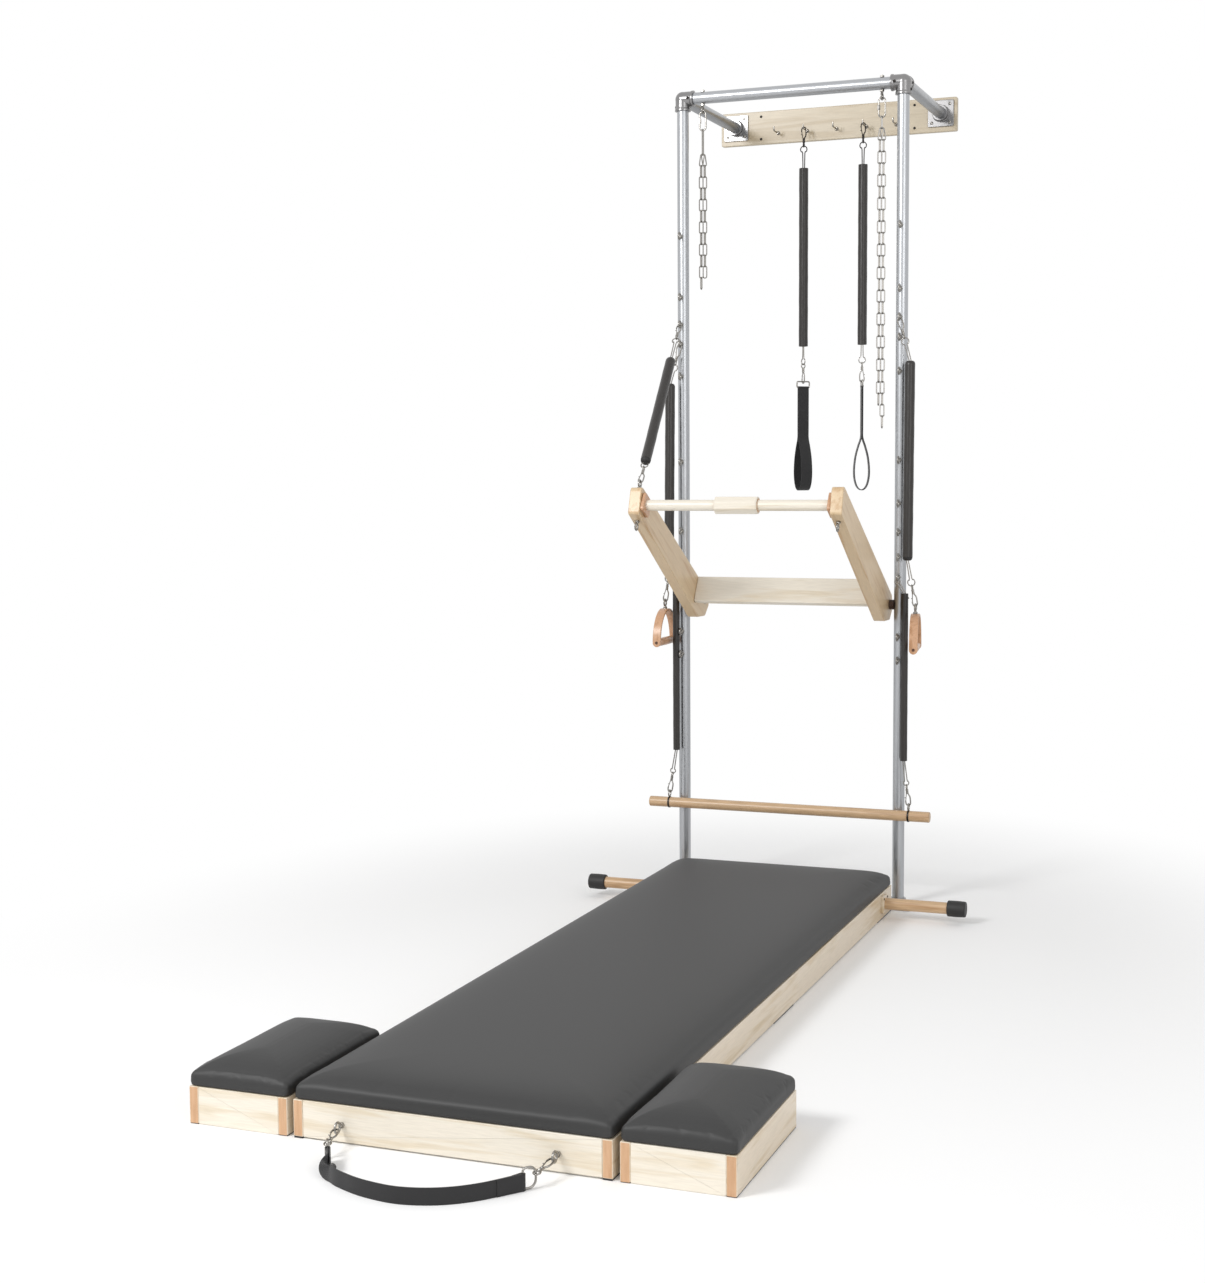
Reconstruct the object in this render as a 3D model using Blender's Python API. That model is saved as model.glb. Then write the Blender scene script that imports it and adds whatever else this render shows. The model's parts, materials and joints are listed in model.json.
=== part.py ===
"""Pilates wall unit: a tubular tower fixed to a wall board, with sprung handles, a roll-down bar,
a push-through bar, hanging strap loops and chains, a padded floor mat and two padded side boxes.

Everything is in metres with +Z up. Sizes are given in the tower's own frame: the floor is z = 0,
the two poles stand at y = 0 on either side of x = 0, and +Y runs towards the wall. The empty named
tower carries that frame, and puts the middle of the whole footprint at the world's origin.
"""
import math

import bmesh
import bpy
from mathutils import Matrix, Vector

X = Vector((1.0, 0.0, 0.0))
Y = Vector((0.0, 1.0, 0.0))
Z = Vector((0.0, 0.0, 1.0))
SIDES = (("left", -1), ("right", 1))

# Fits
CLEARANCE = 0.0003           # between pieces that touch
SEAT = 0.0003                # depth that a fastener beds into what carries it
RUNNING = 0.0005             # between a piece and the bore it slides or turns in
LINKED = 0.0008              # between two wires that hang on each other
LOCKED = 0.0006              # overlap of two wires that are made as one piece

# Tower of tube
TUBE_RADIUS = 0.0167
TUBE_WALL = 0.0034
TOWER_WIDTH = 0.640          # pole axis to pole axis
TOWER_HEIGHT = 2.2945        # floor to the top tubes' axis
TOWER_DEPTH = 0.515          # pole axis to the face of the wall board
FITTING_RADIUS = 0.0210
FITTING_REACH = 0.0340       # corner centre to the mouth of a socket
FITTING_LIP = 0.0018
FITTING_LIP_LENGTH = 0.0070
SOCKET_FLOOR = 0.0180        # corner centre to the end of the tube in its socket
FLANGE_SIZE = 0.078
FLANGE_THICKNESS = 0.0045
FLANGE_COLLAR_RADIUS = 0.0235
FLANGE_COLLAR_LENGTH = 0.018
FOOT_WIDTH = 0.104
FOOT_FRONT = 0.080
FOOT_BACK = 0.040
FOOT_THICKNESS = 0.005
FOOT_COLLAR_LENGTH = 0.015

# Wall board with its row of hooks
BOARD_WIDTH = 0.737
BOARD_HEIGHT = 0.100
BOARD_THICKNESS = 0.019
BOARD_DROP = 0.003           # board's middle below the top tubes' axis
BOARD_CORNER = 0.006
HOOK_COUNT = 5
HOOK_PITCH = 0.0925
HOOK_DROP = 0.0225           # hooks below the top tubes' axis
HOOK_WIRE = 0.0022
HOOK_REACH = 0.042           # board face to where the hook turns up
HOOK_TURN = 0.006
HOOK_TIP = 0.007
HOOK_BITE = 0.012            # depth of the screwed end in the board

# Eyebolts
EYE_HEIGHTS = (1.906, 1.733, 1.655, 1.600, 1.507, 1.261, 1.141, 1.061, 0.991, 0.935, 0.767, 0.701)
EYE_RADIUS = 0.0095          # to the middle of the wire
EYE_WIRE = 0.0025
EYE_STANDOFF = 0.0173        # ring centre to the face that the bolt is screwed against
EYE_NUT_RADIUS = 0.0060
EYE_NUT_LENGTH = 0.0060
EYE_BED = 0.0014             # depth of the nut in the round of a tube, or in wood
EYE_SHANK = 0.0026
CHAIN_OFFSET = 0.260         # chain eyebolts on the cross tube, from the middle
BOLT_NUT_LENGTH = 0.0055

# Floor mat
MAT_WIDTH = 0.640
MAT_FRONT = -2.269
MAT_REAR = -0.084
FRAME_HEIGHT = 0.0735
FRAME_BOARD = 0.020
PAD_HEIGHT = 0.003
PAD_LENGTH = 0.160
DECK_THICKNESS = 0.009
BATTEN_WIDTH = 0.045
BATTEN_HEIGHT = 0.018
BATTEN_COUNT = 5
CUSHION_HEIGHT = 0.048
CUSHION_OVERHANG = 0.0015    # base of a cushion beyond its frame
CUSHION_BULGE = 0.0035
CUSHION_CORNER = 0.018
CUSHION_ROLL = 0.019         # radius of the cushion's upper edge
CUSHION_CROWN = 0.007

# Side boxes
BOX_GAP = 0.013
BOX_WIDTH = 0.2145
BOX_LENGTH = 0.376

# Rod below the mat's head end, for the hands
HEAD_ROD_Y = -0.188
HEAD_ROD_Z = 0.043
HEAD_ROD_RADIUS = 0.016
HEAD_ROD_REACH = 0.545
HEAD_CAP_RADIUS = 0.0223
HEAD_CAP_LENGTH = 0.050
HEAD_CAP_END = 0.004
HEAD_PLATE = (0.008, 0.050, 0.047)

# Push-through bar, turning on the poles
PIVOT_HEIGHT = 0.856
ARM_INNER = 0.258            # middle of the unit to the arm's inner face
ARM_THICKNESS = 0.032
ARM_OUTLINE = (              # y, z from the pivot and the corner's radius
    (-0.526, 0.342, 0.014), (-0.550, 0.268, 0.010), (-0.058, -0.043, 0.020),
    (0.006, -0.044, 0.012), (0.043, -0.014, 0.012), (0.032, 0.026, 0.008))
PIVOT_BOLT_RADIUS = 0.004
PIVOT_HEAD_RADIUS = 0.0085
PIVOT_HEAD_LENGTH = 0.006
SPACER_RADIUS = 0.014
PUSH_ROD_Y = -0.510
PUSH_ROD_Z = 0.289
PUSH_ROD_RADIUS = 0.0145
END_PLATE_SIZE = 0.052
END_PLATE_THICKNESS = 0.009
GRIP_LENGTH = 0.117
GRIP_WIDTH = 0.045
GRIP_CHAMFER = 0.005
SHELF_ALONG = 0.090          # pivot to the shelf's outer face, along the arm
SHELF_LOW = -0.0455
SHELF_HIGH = 0.0340
SHELF_THICKNESS = 0.018
SHELF_SLOPE = math.radians(31.0)
PUSH_LIMIT = math.radians(40.0)
PUSH_EYE_ALONG = 0.022       # upper arm eyebolt behind the arm's tip
LOWER_EYE_ALONG = 0.016

# Springs: the sleeve's outer radius and wall, and the coil inside it
SLEEVE_RADIUS = 0.014
SLEEVE_WALL = 0.0018
LIGHT_SLEEVE_RADIUS = 0.0098
LIGHT_SLEEVE_WALL = 0.0013
SLEEVE_DOME = 0.008
CAP_RIM = 0.002
COIL_WIRE = 0.0030
PLUG_LENGTH = 0.006
NECK_HALF = 0.0030           # middle of a spring to each wire of its neck
NECK_HOLE = 0.0066
LOOP_WIRE = 0.0016
LOOP_RADIUS = 0.0100
LIGHT_LOOP_RADIUS = 0.0075

# Snap hooks
SNAP_WIRE = 0.0019
SNAP_WIDTH = 0.0066          # middle to the wire's centre
SNAP_LENGTH = 0.034
SNAP_END = 0.95              # width of the hook's straight end, as a share of the hook's
SNAP_BARREL_RADIUS = 0.0040
SNAP_BARREL_LENGTH = 0.014
SNAP_EYE_RADIUS = 0.0065
SNAP_EYE_WIRE = 0.0017

# Push spring
PUSH_SPRING_EYE = 2          # which pole eyebolt carries it, counted from the top
PUSH_SLEEVE_START = 0.148    # along the spring
PUSH_SLEEVE_LENGTH = 0.408

# Handle springs. Each one leans a little outwards from its eyebolt, as it hangs
HANDLE_EYES = {"left": 3, "right": 2}          # which pole eyebolt, counted from the top
HANDLE_SLEEVE_OFFSETS = {"left": 0.3485, "right": 0.3520}
HANDLE_SLEEVE_TOPS = {"left": 1.486, "right": 1.533}
HANDLE_OFFSETS = {"left": 0.361, "right": 0.3755}
HANDLE_LEAN = 0.0195          # how far in front of its eyebolt a sleeve ends, clear of the roll springs
HANDLE_SNAP_DROPS = {"left": 0.093, "right": 0.140}    # sleeve's end to the handle's eye
HANDLE_TURNS = {"left": 0.0, "right": math.radians(8.0)}
HANDLE_SLEEVE_LENGTH = 0.540
HANDLE_TOP = -0.015          # heights in a handle are from its eye
HANDLE_GRIP_HEIGHT = -0.112
HANDLE_LENGTH = 0.154
HANDLE_STRIP_WIDTH = 0.024
HANDLE_STRIP = 0.0065
HANDLE_GRIP_RADIUS = 0.0120
HANDLE_END_RADIUS = 0.0150
HANDLE_PIN_RADIUS = 0.0045

# Roll-down bar and its two springs
ROLL_EYE = 9                 # which pole eyebolt carries them, counted from the top
ROLL_SLEEVES = {"left": 0.334, "right": 0.341}
ROLL_SLEEVE_TOP = 0.890
ROLL_SLEEVE_LENGTH = 0.471
ROLL_BAR_HEIGHT = 0.262
ROLL_BAR_RADIUS = 0.015
ROLL_BAR_HALF = 0.4165
ROLL_BAR_EASE = 0.002
ROLL_BAND_OFFSET = 0.356
ROLL_BAND_WIDTH = 0.005
ROLL_BAND_THICKNESS = 0.0016
ROLL_EYE_WIRE = 0.0020

# Hanging springs with strap loops
HANGING_HOOK = 1             # hook carrying the left one, counted from either side
HANGING_SLEEVE_DROP = 0.1235
HANGING_SLEEVE_LENGTH = 0.539
HANGING_SNAP_DROP = 0.113
STRAP_TURNS = {"left": math.radians(47.0), "right": math.radians(-70.0)}
STRAP_WIDTH = 0.038
STRAP_THICKNESS = 0.0024
STRAP_LENGTH = 0.316
STRAP_OPENING = 0.046
STRAP_SEAM = 0.150           # stretch where the two layers lie together
RING_WIRE = 0.0022
RING_HEIGHT = 0.018
RING_PLAY = 0.002            # webbing's width to the ring's inner width

# Chains
CHAIN_TOP_LINKS = {"left": 0.076, "right": 0.038}      # length of the link that carries both strands
CHAIN_COUNTS = {"left": (12, 11), "right": (24, 26)}   # links in each strand
LINK_LENGTH = 0.038
LINK_WIDTH = 0.0145
LINK_WIRE = 0.00175
LINK_END = 0.62              # width of a link's straight end, as a share of the link's
STRAND_SPREAD = 0.0048
STRAND_OFFSET = 0.0020
QUICK_LENGTH = 0.058
QUICK_WIDTH = 0.023
QUICK_WIRE = 0.0023
QUICK_NUT_RADIUS = 0.0045
QUICK_NUT_LENGTH = 0.013

# Foot strap in front of the mat
FOOT_EYE_OFFSET = 0.217
FOOT_EYE_HEIGHT = 0.0365
FOOT_BAND_WIDTH = 0.031
FOOT_BAND_THICKNESS = 0.0028
FOOT_BAND_ROUTE = (          # x, y of the band as it lies on the floor
    (-0.196, -2.392), (-0.148, -2.440), (-0.095, -2.472), (-0.040, -2.489), (0.020, -2.493),
    (0.084, -2.473), (0.138, -2.432), (0.197, -2.387))
FOOT_SNAP_DROP = 0.018
FOOT_SNAP_LEAD = math.radians(24.0)  # slope at which a snap leaves its eyebolt
FOOT_RING_DEPTH = 0.026

# Facets
ROUND = 12
SLIM = 10
FINE = 6
WIRE_SIDES = 4
LINK_SIDES = 3

# Worked out from the sizes above
HALF_TOWER = TOWER_WIDTH / 2
BOARD_BACK = TOWER_DEPTH + BOARD_THICKNESS
EYE_Y = -TUBE_RADIUS - EYE_STANDOFF
EYE_HANG = EYE_RADIUS - EYE_WIRE - LINKED
SLANT_PLAY = 0.0003     # more room in an eyebolt for a snap that stands at a slant in it
FOOT_RING_WIDTH = FOOT_BAND_WIDTH + 2 * RING_WIRE + RING_PLAY


def material(name, colour, roughness, metallic=0.0):
    """Makes a Principled material from an RGB colour."""
    made = bpy.data.materials.new(name)
    made.use_nodes = True
    shader = made.node_tree.nodes["Principled BSDF"]
    shader.inputs["Base Color"].default_value = (*colour, 1.0)
    shader.inputs["Roughness"].default_value = roughness
    shader.inputs["Metallic"].default_value = metallic
    return made


class Palette:
    """The materials that the pieces share."""

    def __init__(self):
        self.tube = material("galvanised_tube", (0.56, 0.57, 0.58), 0.38, 1.0)
        self.nickel = material("nickel_plate", (0.62, 0.60, 0.57), 0.22, 1.0)
        self.maple = material("maple", (0.72, 0.57, 0.40), 0.42)
        self.beech = material("beech", (0.58, 0.38, 0.24), 0.40)
        self.oak = material("oak", (0.55, 0.36, 0.20), 0.40)
        self.vinyl = material("black_vinyl", (0.022, 0.022, 0.024), 0.42)
        self.sleeve = material("black_sleeve", (0.030, 0.026, 0.023), 0.36)
        self.webbing = material("black_webbing", (0.012, 0.012, 0.013), 0.75)


def clear_scene():
    """Removes what the scene holds."""
    for thing in list(bpy.data.objects):
        bpy.data.objects.remove(thing)


def mesh_of(bm):
    """Turns a bmesh into a mesh with its faces pointing out."""
    bmesh.ops.recalc_face_normals(bm, faces=bm.faces)
    mesh = bpy.data.meshes.new("shape")
    bm.to_mesh(mesh)
    bm.free()
    return mesh


def moved(mesh, matrix):
    """Copies a mesh to another place."""
    copy = mesh.copy()
    copy.transform(matrix)
    return copy


def joined(meshes):
    """Puts several meshes that don't touch in one, to cut or join them together."""
    bm = bmesh.new()
    for mesh in meshes:
        bm.from_mesh(mesh)
    out = bpy.data.meshes.new("shape")
    bm.to_mesh(out)
    bm.free()
    return out


def boolean(base, tool, operation):
    """Cuts or joins two closed meshes."""
    first = bpy.data.objects.new("base", base)
    second = bpy.data.objects.new("tool", tool)
    for thing in (first, second):
        bpy.context.scene.collection.objects.link(thing)
    cut = first.modifiers.new("cut", "BOOLEAN")
    cut.operation = operation
    cut.solver = "EXACT"
    cut.object = second
    graph = bpy.context.evaluated_depsgraph_get()
    out = bpy.data.meshes.new_from_object(first.evaluated_get(graph))
    for thing in (first, second):
        bpy.data.objects.remove(thing)
    bm = bmesh.new()
    bm.from_mesh(out)
    bmesh.ops.remove_doubles(bm, verts=bm.verts, dist=2e-6)
    bmesh.ops.dissolve_degenerate(bm, edges=bm.edges, dist=1e-6)
    return mesh_of(bm)


def united(meshes):
    """Joins overlapping meshes into one solid."""
    out = meshes[0]
    for mesh in meshes[1:]:
        out = boolean(out, mesh, "UNION")
    return out


def at(point):
    """A move to a point."""
    return Matrix.Translation(Vector(point))


def frame_along(origin, direction, side=X):
    """Turns local -Z to a direction and local X as near as it can be to a side."""
    down = Vector(direction).normalized()
    if abs(side.dot(down)) > 0.99:
        side = Z if abs(down.z) < 0.9 else Y
    across = (side - down * side.dot(down)).normalized()
    up = -down
    matrix = Matrix((across, up.cross(across), up)).transposed().to_4x4()
    matrix.translation = Vector(origin)
    return matrix


def turned(profile, segments=ROUND, hollow=False):
    """Turns a profile of (radius, height) points about Z. A hollow profile closes on itself."""
    bm = bmesh.new()
    points = [bm.verts.new((radius, 0.0, height)) for radius, height in profile]
    pairs = list(zip(points, points[1:]))
    if hollow:
        pairs.append((points[-1], points[0]))
    edges = [bm.edges.new(pair) for pair in pairs]
    bmesh.ops.spin(bm, geom=points + edges, cent=(0, 0, 0), axis=(0, 0, 1),
                   angle=math.tau, steps=segments, use_merge=True)
    bmesh.ops.remove_doubles(bm, verts=bm.verts, dist=1e-6)
    return mesh_of(bm)


def bored(radius, gap=CLEARANCE, segments=ROUND):
    """Corner radius of a faceted bore whose flats clear a round piece by a gap."""
    return (radius + gap) / math.cos(math.pi / segments)


def rod(radius, length, segments=ROUND):
    """A cylinder that stands on z = 0."""
    return turned([(0, 0), (radius, 0), (radius, length), (0, length)], segments)


def tube(radius, wall, length, segments=ROUND):
    """A tube that stands on z = 0."""
    inner = radius - wall
    return turned([(radius, 0), (radius, length), (inner, length), (inner, 0)], segments, hollow=True)


def between(mesh, start, end):
    """Lays a shape that stands on z = 0 from one point towards another."""
    return moved(mesh, frame_along(start, Vector(start) - Vector(end)))


def wire(points, radius, sides=WIRE_SIDES, cyclic=False):
    """A wire bent in one plane through the points, as wide in the bends as between them."""
    places = [Vector(point) for point in points]
    count = len(places)
    steps = [(places[(k + 1) % count] - places[k]).normalized() for k in range(count)]
    if not cyclic:
        steps[-1] = steps[-2]
    across = max((steps[k - 1].cross(steps[k]) for k in range(1, count)), key=lambda v: v.length).normalized()
    bm = bmesh.new()
    rings = []
    for k, place in enumerate(places):
        before = steps[k - 1] if cyclic or k else steps[0]
        along = (before + steps[k]).normalized()
        inward = across.cross(along) / before.dot(along)
        angles = [math.tau * side / sides for side in range(sides)]
        rings.append([bm.verts.new(place + (inward * math.cos(a) + across * math.sin(a)) * radius) for a in angles])
    pairs = list(zip(rings, rings[1:]))
    if cyclic:
        pairs.append((rings[-1], rings[0]))
    else:
        bm.faces.new(rings[0])
        bm.faces.new(rings[-1])
    for low, high in pairs:
        for k in range(sides):
            bm.faces.new((low[k], low[(k + 1) % sides], high[(k + 1) % sides], high[k]))
    return mesh_of(bm)


def arc(centre, radius, start, end, steps):
    """Points in the XZ plane on an arc, by angles from +X towards +Z."""
    angles = [start + (end - start) * k / steps for k in range(steps + 1)]
    return [(centre[0] + radius * math.cos(a), 0.0, centre[1] + radius * math.sin(a)) for a in angles]


def oval(length, width, steps=3):
    """A closed oval in the XZ plane, hanging from the middle of its top wire at the origin."""
    radius = width / 2
    flat = radius * math.cos(math.pi / steps / 2)
    top = arc((0, -flat), radius, 0, math.pi, steps)
    bottom = arc((0, flat - length), radius, math.pi, math.tau, steps)
    return top + bottom


def link_of(length, width, radius, end_share=LINK_END, sides=WIRE_SIDES):
    """A six-sided chain link in the XZ plane, hanging from the middle of its top wire at the origin."""
    half = width / 2 - radius
    foot = 2 * radius - length
    end = half * end_share
    points = [(end, 0), (-end, 0), (-half, foot / 2), (-end, foot), (end, foot), (half, foot / 2)]
    return wire([(x, 0.0, z) for x, z in points], radius, sides, cyclic=True)


def board(size, centre, bevel=0.0015):
    """A board, with eased edges unless it is hidden."""
    bm = bmesh.new()
    bmesh.ops.create_cube(bm, size=1.0)
    bmesh.ops.scale(bm, vec=size, verts=bm.verts)
    if bevel:
        bmesh.ops.bevel(bm, geom=bm.edges[:], offset=bevel, segments=1, profile=0.5, affect="EDGES")
    bmesh.ops.translate(bm, vec=centre, verts=bm.verts)
    return mesh_of(bm)


def rounded_outline(corners, steps=3):
    """Replaces each (u, v, radius) corner by an arc of that radius."""
    out = []
    count = len(corners)
    for k, (u, v, radius) in enumerate(corners):
        here = Vector((u, v))
        before = (Vector(corners[k - 1][:2]) - here).normalized()
        after = (Vector(corners[(k + 1) % count][:2]) - here).normalized()
        half = before.angle(after) / 2
        reach = radius / math.tan(half)
        centre = here + (before + after).normalized() * radius / math.sin(half)
        start = here + before * reach - centre
        end = here + after * reach - centre
        sweep = start.angle_signed(end)
        for step in range(steps + 1):
            out.append(centre + Matrix.Rotation(-sweep * step / steps, 2) @ start)
    return out


def extruded(outline, thickness, bevel=0.0015):
    """Extrudes an outline in the YZ plane along +X, with eased edges."""
    bm = bmesh.new()
    points = [bm.verts.new((0.0, u, v)) for u, v in outline]
    face = bm.faces.new(points)
    made = bmesh.ops.extrude_face_region(bm, geom=[face])
    verts = [item for item in made["geom"] if isinstance(item, bmesh.types.BMVert)]
    bmesh.ops.translate(bm, vec=(thickness, 0, 0), verts=verts)
    if bevel:
        rims = [edge for edge in bm.edges if abs(edge.verts[0].co.x - edge.verts[1].co.x) < 1e-6]
        bmesh.ops.bevel(bm, geom=rims, offset=bevel, segments=1, profile=0.5, affect="EDGES")
    return mesh_of(bm)


def rectangle(width, height, radius):
    """Corners of a rectangle with one radius, about the origin."""
    w = width / 2
    h = height / 2
    return [(-w, -h, radius), (w, -h, radius), (w, h, radius), (-w, h, radius)]


def ribbon(points, width, thickness, cyclic=False):
    """A band through points in the XZ plane, as wide as given along Y."""
    bm = bmesh.new()
    rows = []
    for x, _, z in points:
        rows.append((bm.verts.new((x, -width / 2, z)), bm.verts.new((x, width / 2, z))))
    pairs = list(zip(rows, rows[1:]))
    if cyclic:
        pairs.append((rows[-1], rows[0]))
    for (a, b), (c, d) in pairs:
        bm.faces.new((a, b, d, c))
    bmesh.ops.recalc_face_normals(bm, faces=bm.faces)
    mesh = bpy.data.meshes.new("band")
    bm.to_mesh(mesh)
    bm.free()
    thing = bpy.data.objects.new("band", mesh)
    bpy.context.scene.collection.objects.link(thing)
    solid = thing.modifiers.new("thickness", "SOLIDIFY")
    solid.thickness = thickness
    solid.offset = 0.0
    solid.use_even_offset = True
    graph = bpy.context.evaluated_depsgraph_get()
    out = bpy.data.meshes.new_from_object(thing.evaluated_get(graph))
    bpy.data.objects.remove(thing)
    bm = bmesh.new()
    bm.from_mesh(out)
    return mesh_of(bm)


def smooth_route(points, per_span):
    """Points on a smooth curve through the given points."""
    places = [Vector(p) for p in points]
    padded = [places[0] * 2 - places[1]] + places + [places[-1] * 2 - places[-2]]
    out = []
    for k in range(1, len(padded) - 2):
        a, b, c, d = padded[k - 1:k + 3]
        for step in range(per_span):
            t = step / per_span
            out.append(0.5 * (2 * b + (c - a) * t + (2 * a - 5 * b + 4 * c - d) * t * t
                              + (3 * b - a - 3 * c + d) * t ** 3))
    out.append(places[-1])
    return out


def cushion(width, length, corner_steps=3):
    """A padded cushion on z = 0: its sides bulge, and pull in towards the frame and between corners."""
    shoulder = CUSHION_HEIGHT - CUSHION_CROWN - CUSHION_ROLL
    # Each ring is an inset from the bulged outline, a height and how much its sides draw in.
    rings = [(CUSHION_BULGE, 0.0, 0.0), (CUSHION_BULGE * 0.35, shoulder * 0.35, 0.4), (0.0, shoulder, 1.0)]
    for angle in (30, 60, 85):
        a = math.radians(angle)
        rings.append((CUSHION_ROLL * (1 - math.cos(a)), shoulder + CUSHION_ROLL * math.sin(a), 1.0))
    inner = min(width, length) / 2 - CUSHION_ROLL
    for share in (0.35, 0.7):
        rise = CUSHION_CROWN * (1 - (1 - share) ** 2)
        rings.append((CUSHION_ROLL + inner * share * 0.9, shoulder + CUSHION_ROLL + rise, 0.0))
    bm = bmesh.new()
    loops = []
    for inset, height, draw in rings:
        w = width / 2 + CUSHION_BULGE - inset
        h = length / 2 + CUSHION_BULGE - inset
        radius = max(CUSHION_CORNER + CUSHION_BULGE - inset, 0.003)
        outline = rounded_outline(rectangle(2 * w, 2 * h, radius), corner_steps)
        # Between two corners each side has one more point, drawn in by a share of the bulge.
        loop = []
        for k, point in enumerate(outline):
            loop.append(bm.verts.new((point.x, point.y, height)))
            if (k + 1) % (corner_steps + 1) == 0:
                following = outline[(k + 1) % len(outline)]
                middle = (point + following) / 2
                inward = -middle.normalized() * CUSHION_BULGE * 0.5 * draw
                middle = middle + inward
                loop.append(bm.verts.new((middle.x, middle.y, height)))
        loops.append(loop)
    bm.faces.new(loops[0])
    for low, high in zip(loops, loops[1:]):
        count = len(low)
        for k in range(count):
            bm.faces.new((low[k], low[(k + 1) % count], high[(k + 1) % count], high[k]))
    top = bm.verts.new((0, 0, CUSHION_HEIGHT))
    count = len(loops[-1])
    for k in range(count):
        bm.faces.new((loops[-1][k], loops[-1][(k + 1) % count], top))
    return mesh_of(bm)


def eyebolt(shank_length=0.0):
    """An eyebolt: a ring in the YZ plane about the origin, and a bedded nut, or more shank, along +Y."""
    start = EYE_RADIUS - EYE_WIRE * 0.4
    face = EYE_STANDOFF + EYE_BED
    profile = [(0, start), (EYE_NUT_RADIUS, face - EYE_NUT_LENGTH), (EYE_NUT_RADIUS, face)]
    if shank_length:
        profile += [(EYE_SHANK, face), (EYE_SHANK, EYE_STANDOFF + shank_length)]
    profile.append((0, profile[-1][1]))
    stem = moved(turned(profile, 6), Matrix.Rotation(-math.pi / 2, 4, "X"))
    return united([ring_of(EYE_RADIUS, EYE_WIRE, steps=8 if shank_length else 6), stem])


def ring_of(radius, wire_radius, steps=6):
    """A ring of wire in the YZ plane about the origin, with its flats at the radius."""
    angles = [math.tau * (k + 0.5) / steps - math.pi / 2 for k in range(steps)]
    corner = radius / math.cos(math.pi / steps)
    return wire([(0.0, corner * math.cos(a), corner * math.sin(a)) for a in angles], wire_radius, cyclic=True)


def eye_placed(centre, direction, side=X, template=None):
    """Places an eyebolt with its ring's centre at a point and its shank along a direction."""
    matrix = frame_along(centre, direction, side) @ Matrix.Rotation(-math.pi / 2, 4, "X")
    return moved(template or eyebolt(), matrix)


def snap_hook(crossed=True):
    """A snap hook hanging from its hook's top wire: an oval hook, a swivel barrel and an eye across it."""
    hook = link_of(SNAP_LENGTH + 2 * SNAP_WIRE, 2 * (SNAP_WIDTH + SNAP_WIRE), SNAP_WIRE, SNAP_END)
    barrel_top = -SNAP_LENGTH + SNAP_WIRE * 0.5
    barrel_foot = barrel_top - SNAP_BARREL_LENGTH
    barrel = turned([(0, barrel_foot), (SNAP_BARREL_RADIUS, barrel_foot), (SNAP_BARREL_RADIUS, barrel_top),
                     (0, barrel_top)], FINE)
    turn = Matrix.Rotation(0.0 if crossed else math.pi / 2, 4, "Z")
    eye = moved(ring_of(SNAP_EYE_RADIUS, SNAP_EYE_WIRE), at((0, 0, snap_eye_centre())) @ turn)
    return united([hook, barrel, eye])


def snap_eye_centre():
    """Height of a snap's eye below the top wire of its hook."""
    return -SNAP_LENGTH - SNAP_BARREL_LENGTH - SNAP_EYE_RADIUS + SNAP_EYE_WIRE


def snap_reach(held=LOOP_WIRE):
    """From a snap's top wire to the middle of the wire that its eye holds."""
    return SNAP_EYE_RADIUS - SNAP_EYE_WIRE - held + LOCKED - snap_eye_centre()


def end_loop(length, radius=LOOP_RADIUS):
    """A spring's end: a round loop that narrows to a neck of two wires, hanging from the origin."""
    ring = arc((0, -radius), radius, math.radians(-45), math.radians(225), 6)
    foot = -max(length, 2 * radius + LOOP_WIRE)
    neck = min(-2.3 * radius, foot + 0.001)
    points = [(NECK_HALF, 0.0, foot), (NECK_HALF, 0.0, neck)] + ring
    points += [(-NECK_HALF, 0.0, neck), (-NECK_HALF, 0.0, foot)]
    return wire(points, LOOP_WIRE)


def spring_end(origin, towards, snap=True, radius=LOOP_RADIUS, side=X, bury=0.006):
    """What links a spring's sleeve to an eye: the end loop, on a snap hook where there is one."""
    origin = Vector(origin)
    towards = Vector(towards)
    frame = frame_along(origin, towards - origin, side)
    reach = (towards - origin).length
    if not snap:
        # A round loop hangs with its centre straight below the eye, whichever way its neck leads.
        centre = origin - Z * radius
        way = (towards - centre).normalized()
        reach = (towards - centre).length + radius
        return moved(end_loop(reach + bury, radius), frame_along(centre - way * radius, way, side))
    loop = moved(end_loop(reach - snap_reach() + bury, radius), at((0, 0, -snap_reach())))
    return moved(united([snap_hook(), loop]), frame)


def sleeve(radius, wall, length, domed):
    """A spring's sleeve hanging from the origin, with its top drawn in to the neck when domed."""
    bore = radius - wall
    if not domed:
        return moved(tube(radius, wall, length, SLIM), at((0, 0, -length)))
    top = [(radius, -SLEEVE_DOME), (radius * 0.90, -SLEEVE_DOME * 0.40), (radius * 0.68, 0.0), (NECK_HOLE, 0.0)]
    inside = [(NECK_HOLE, -wall), (radius * 0.66, -wall), (bore * 0.93, -SLEEVE_DOME * 0.55 - wall * 0.4),
              (bore, -SLEEVE_DOME - wall), (bore, -length)]
    return turned([(radius, -length)] + top + inside, SLIM, hollow=True)


def end_cap(radius):
    """The domed cap on a spring's lower end, its flat rim at the origin."""
    profile = [(0, 0), (radius, 0), (radius, -CAP_RIM), (radius * 0.90, -CAP_RIM - SLEEVE_DOME * 0.6),
               (radius * 0.68, -CAP_RIM - SLEEVE_DOME), (0, -CAP_RIM - SLEEVE_DOME)]
    return turned(profile, SLIM)


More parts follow.
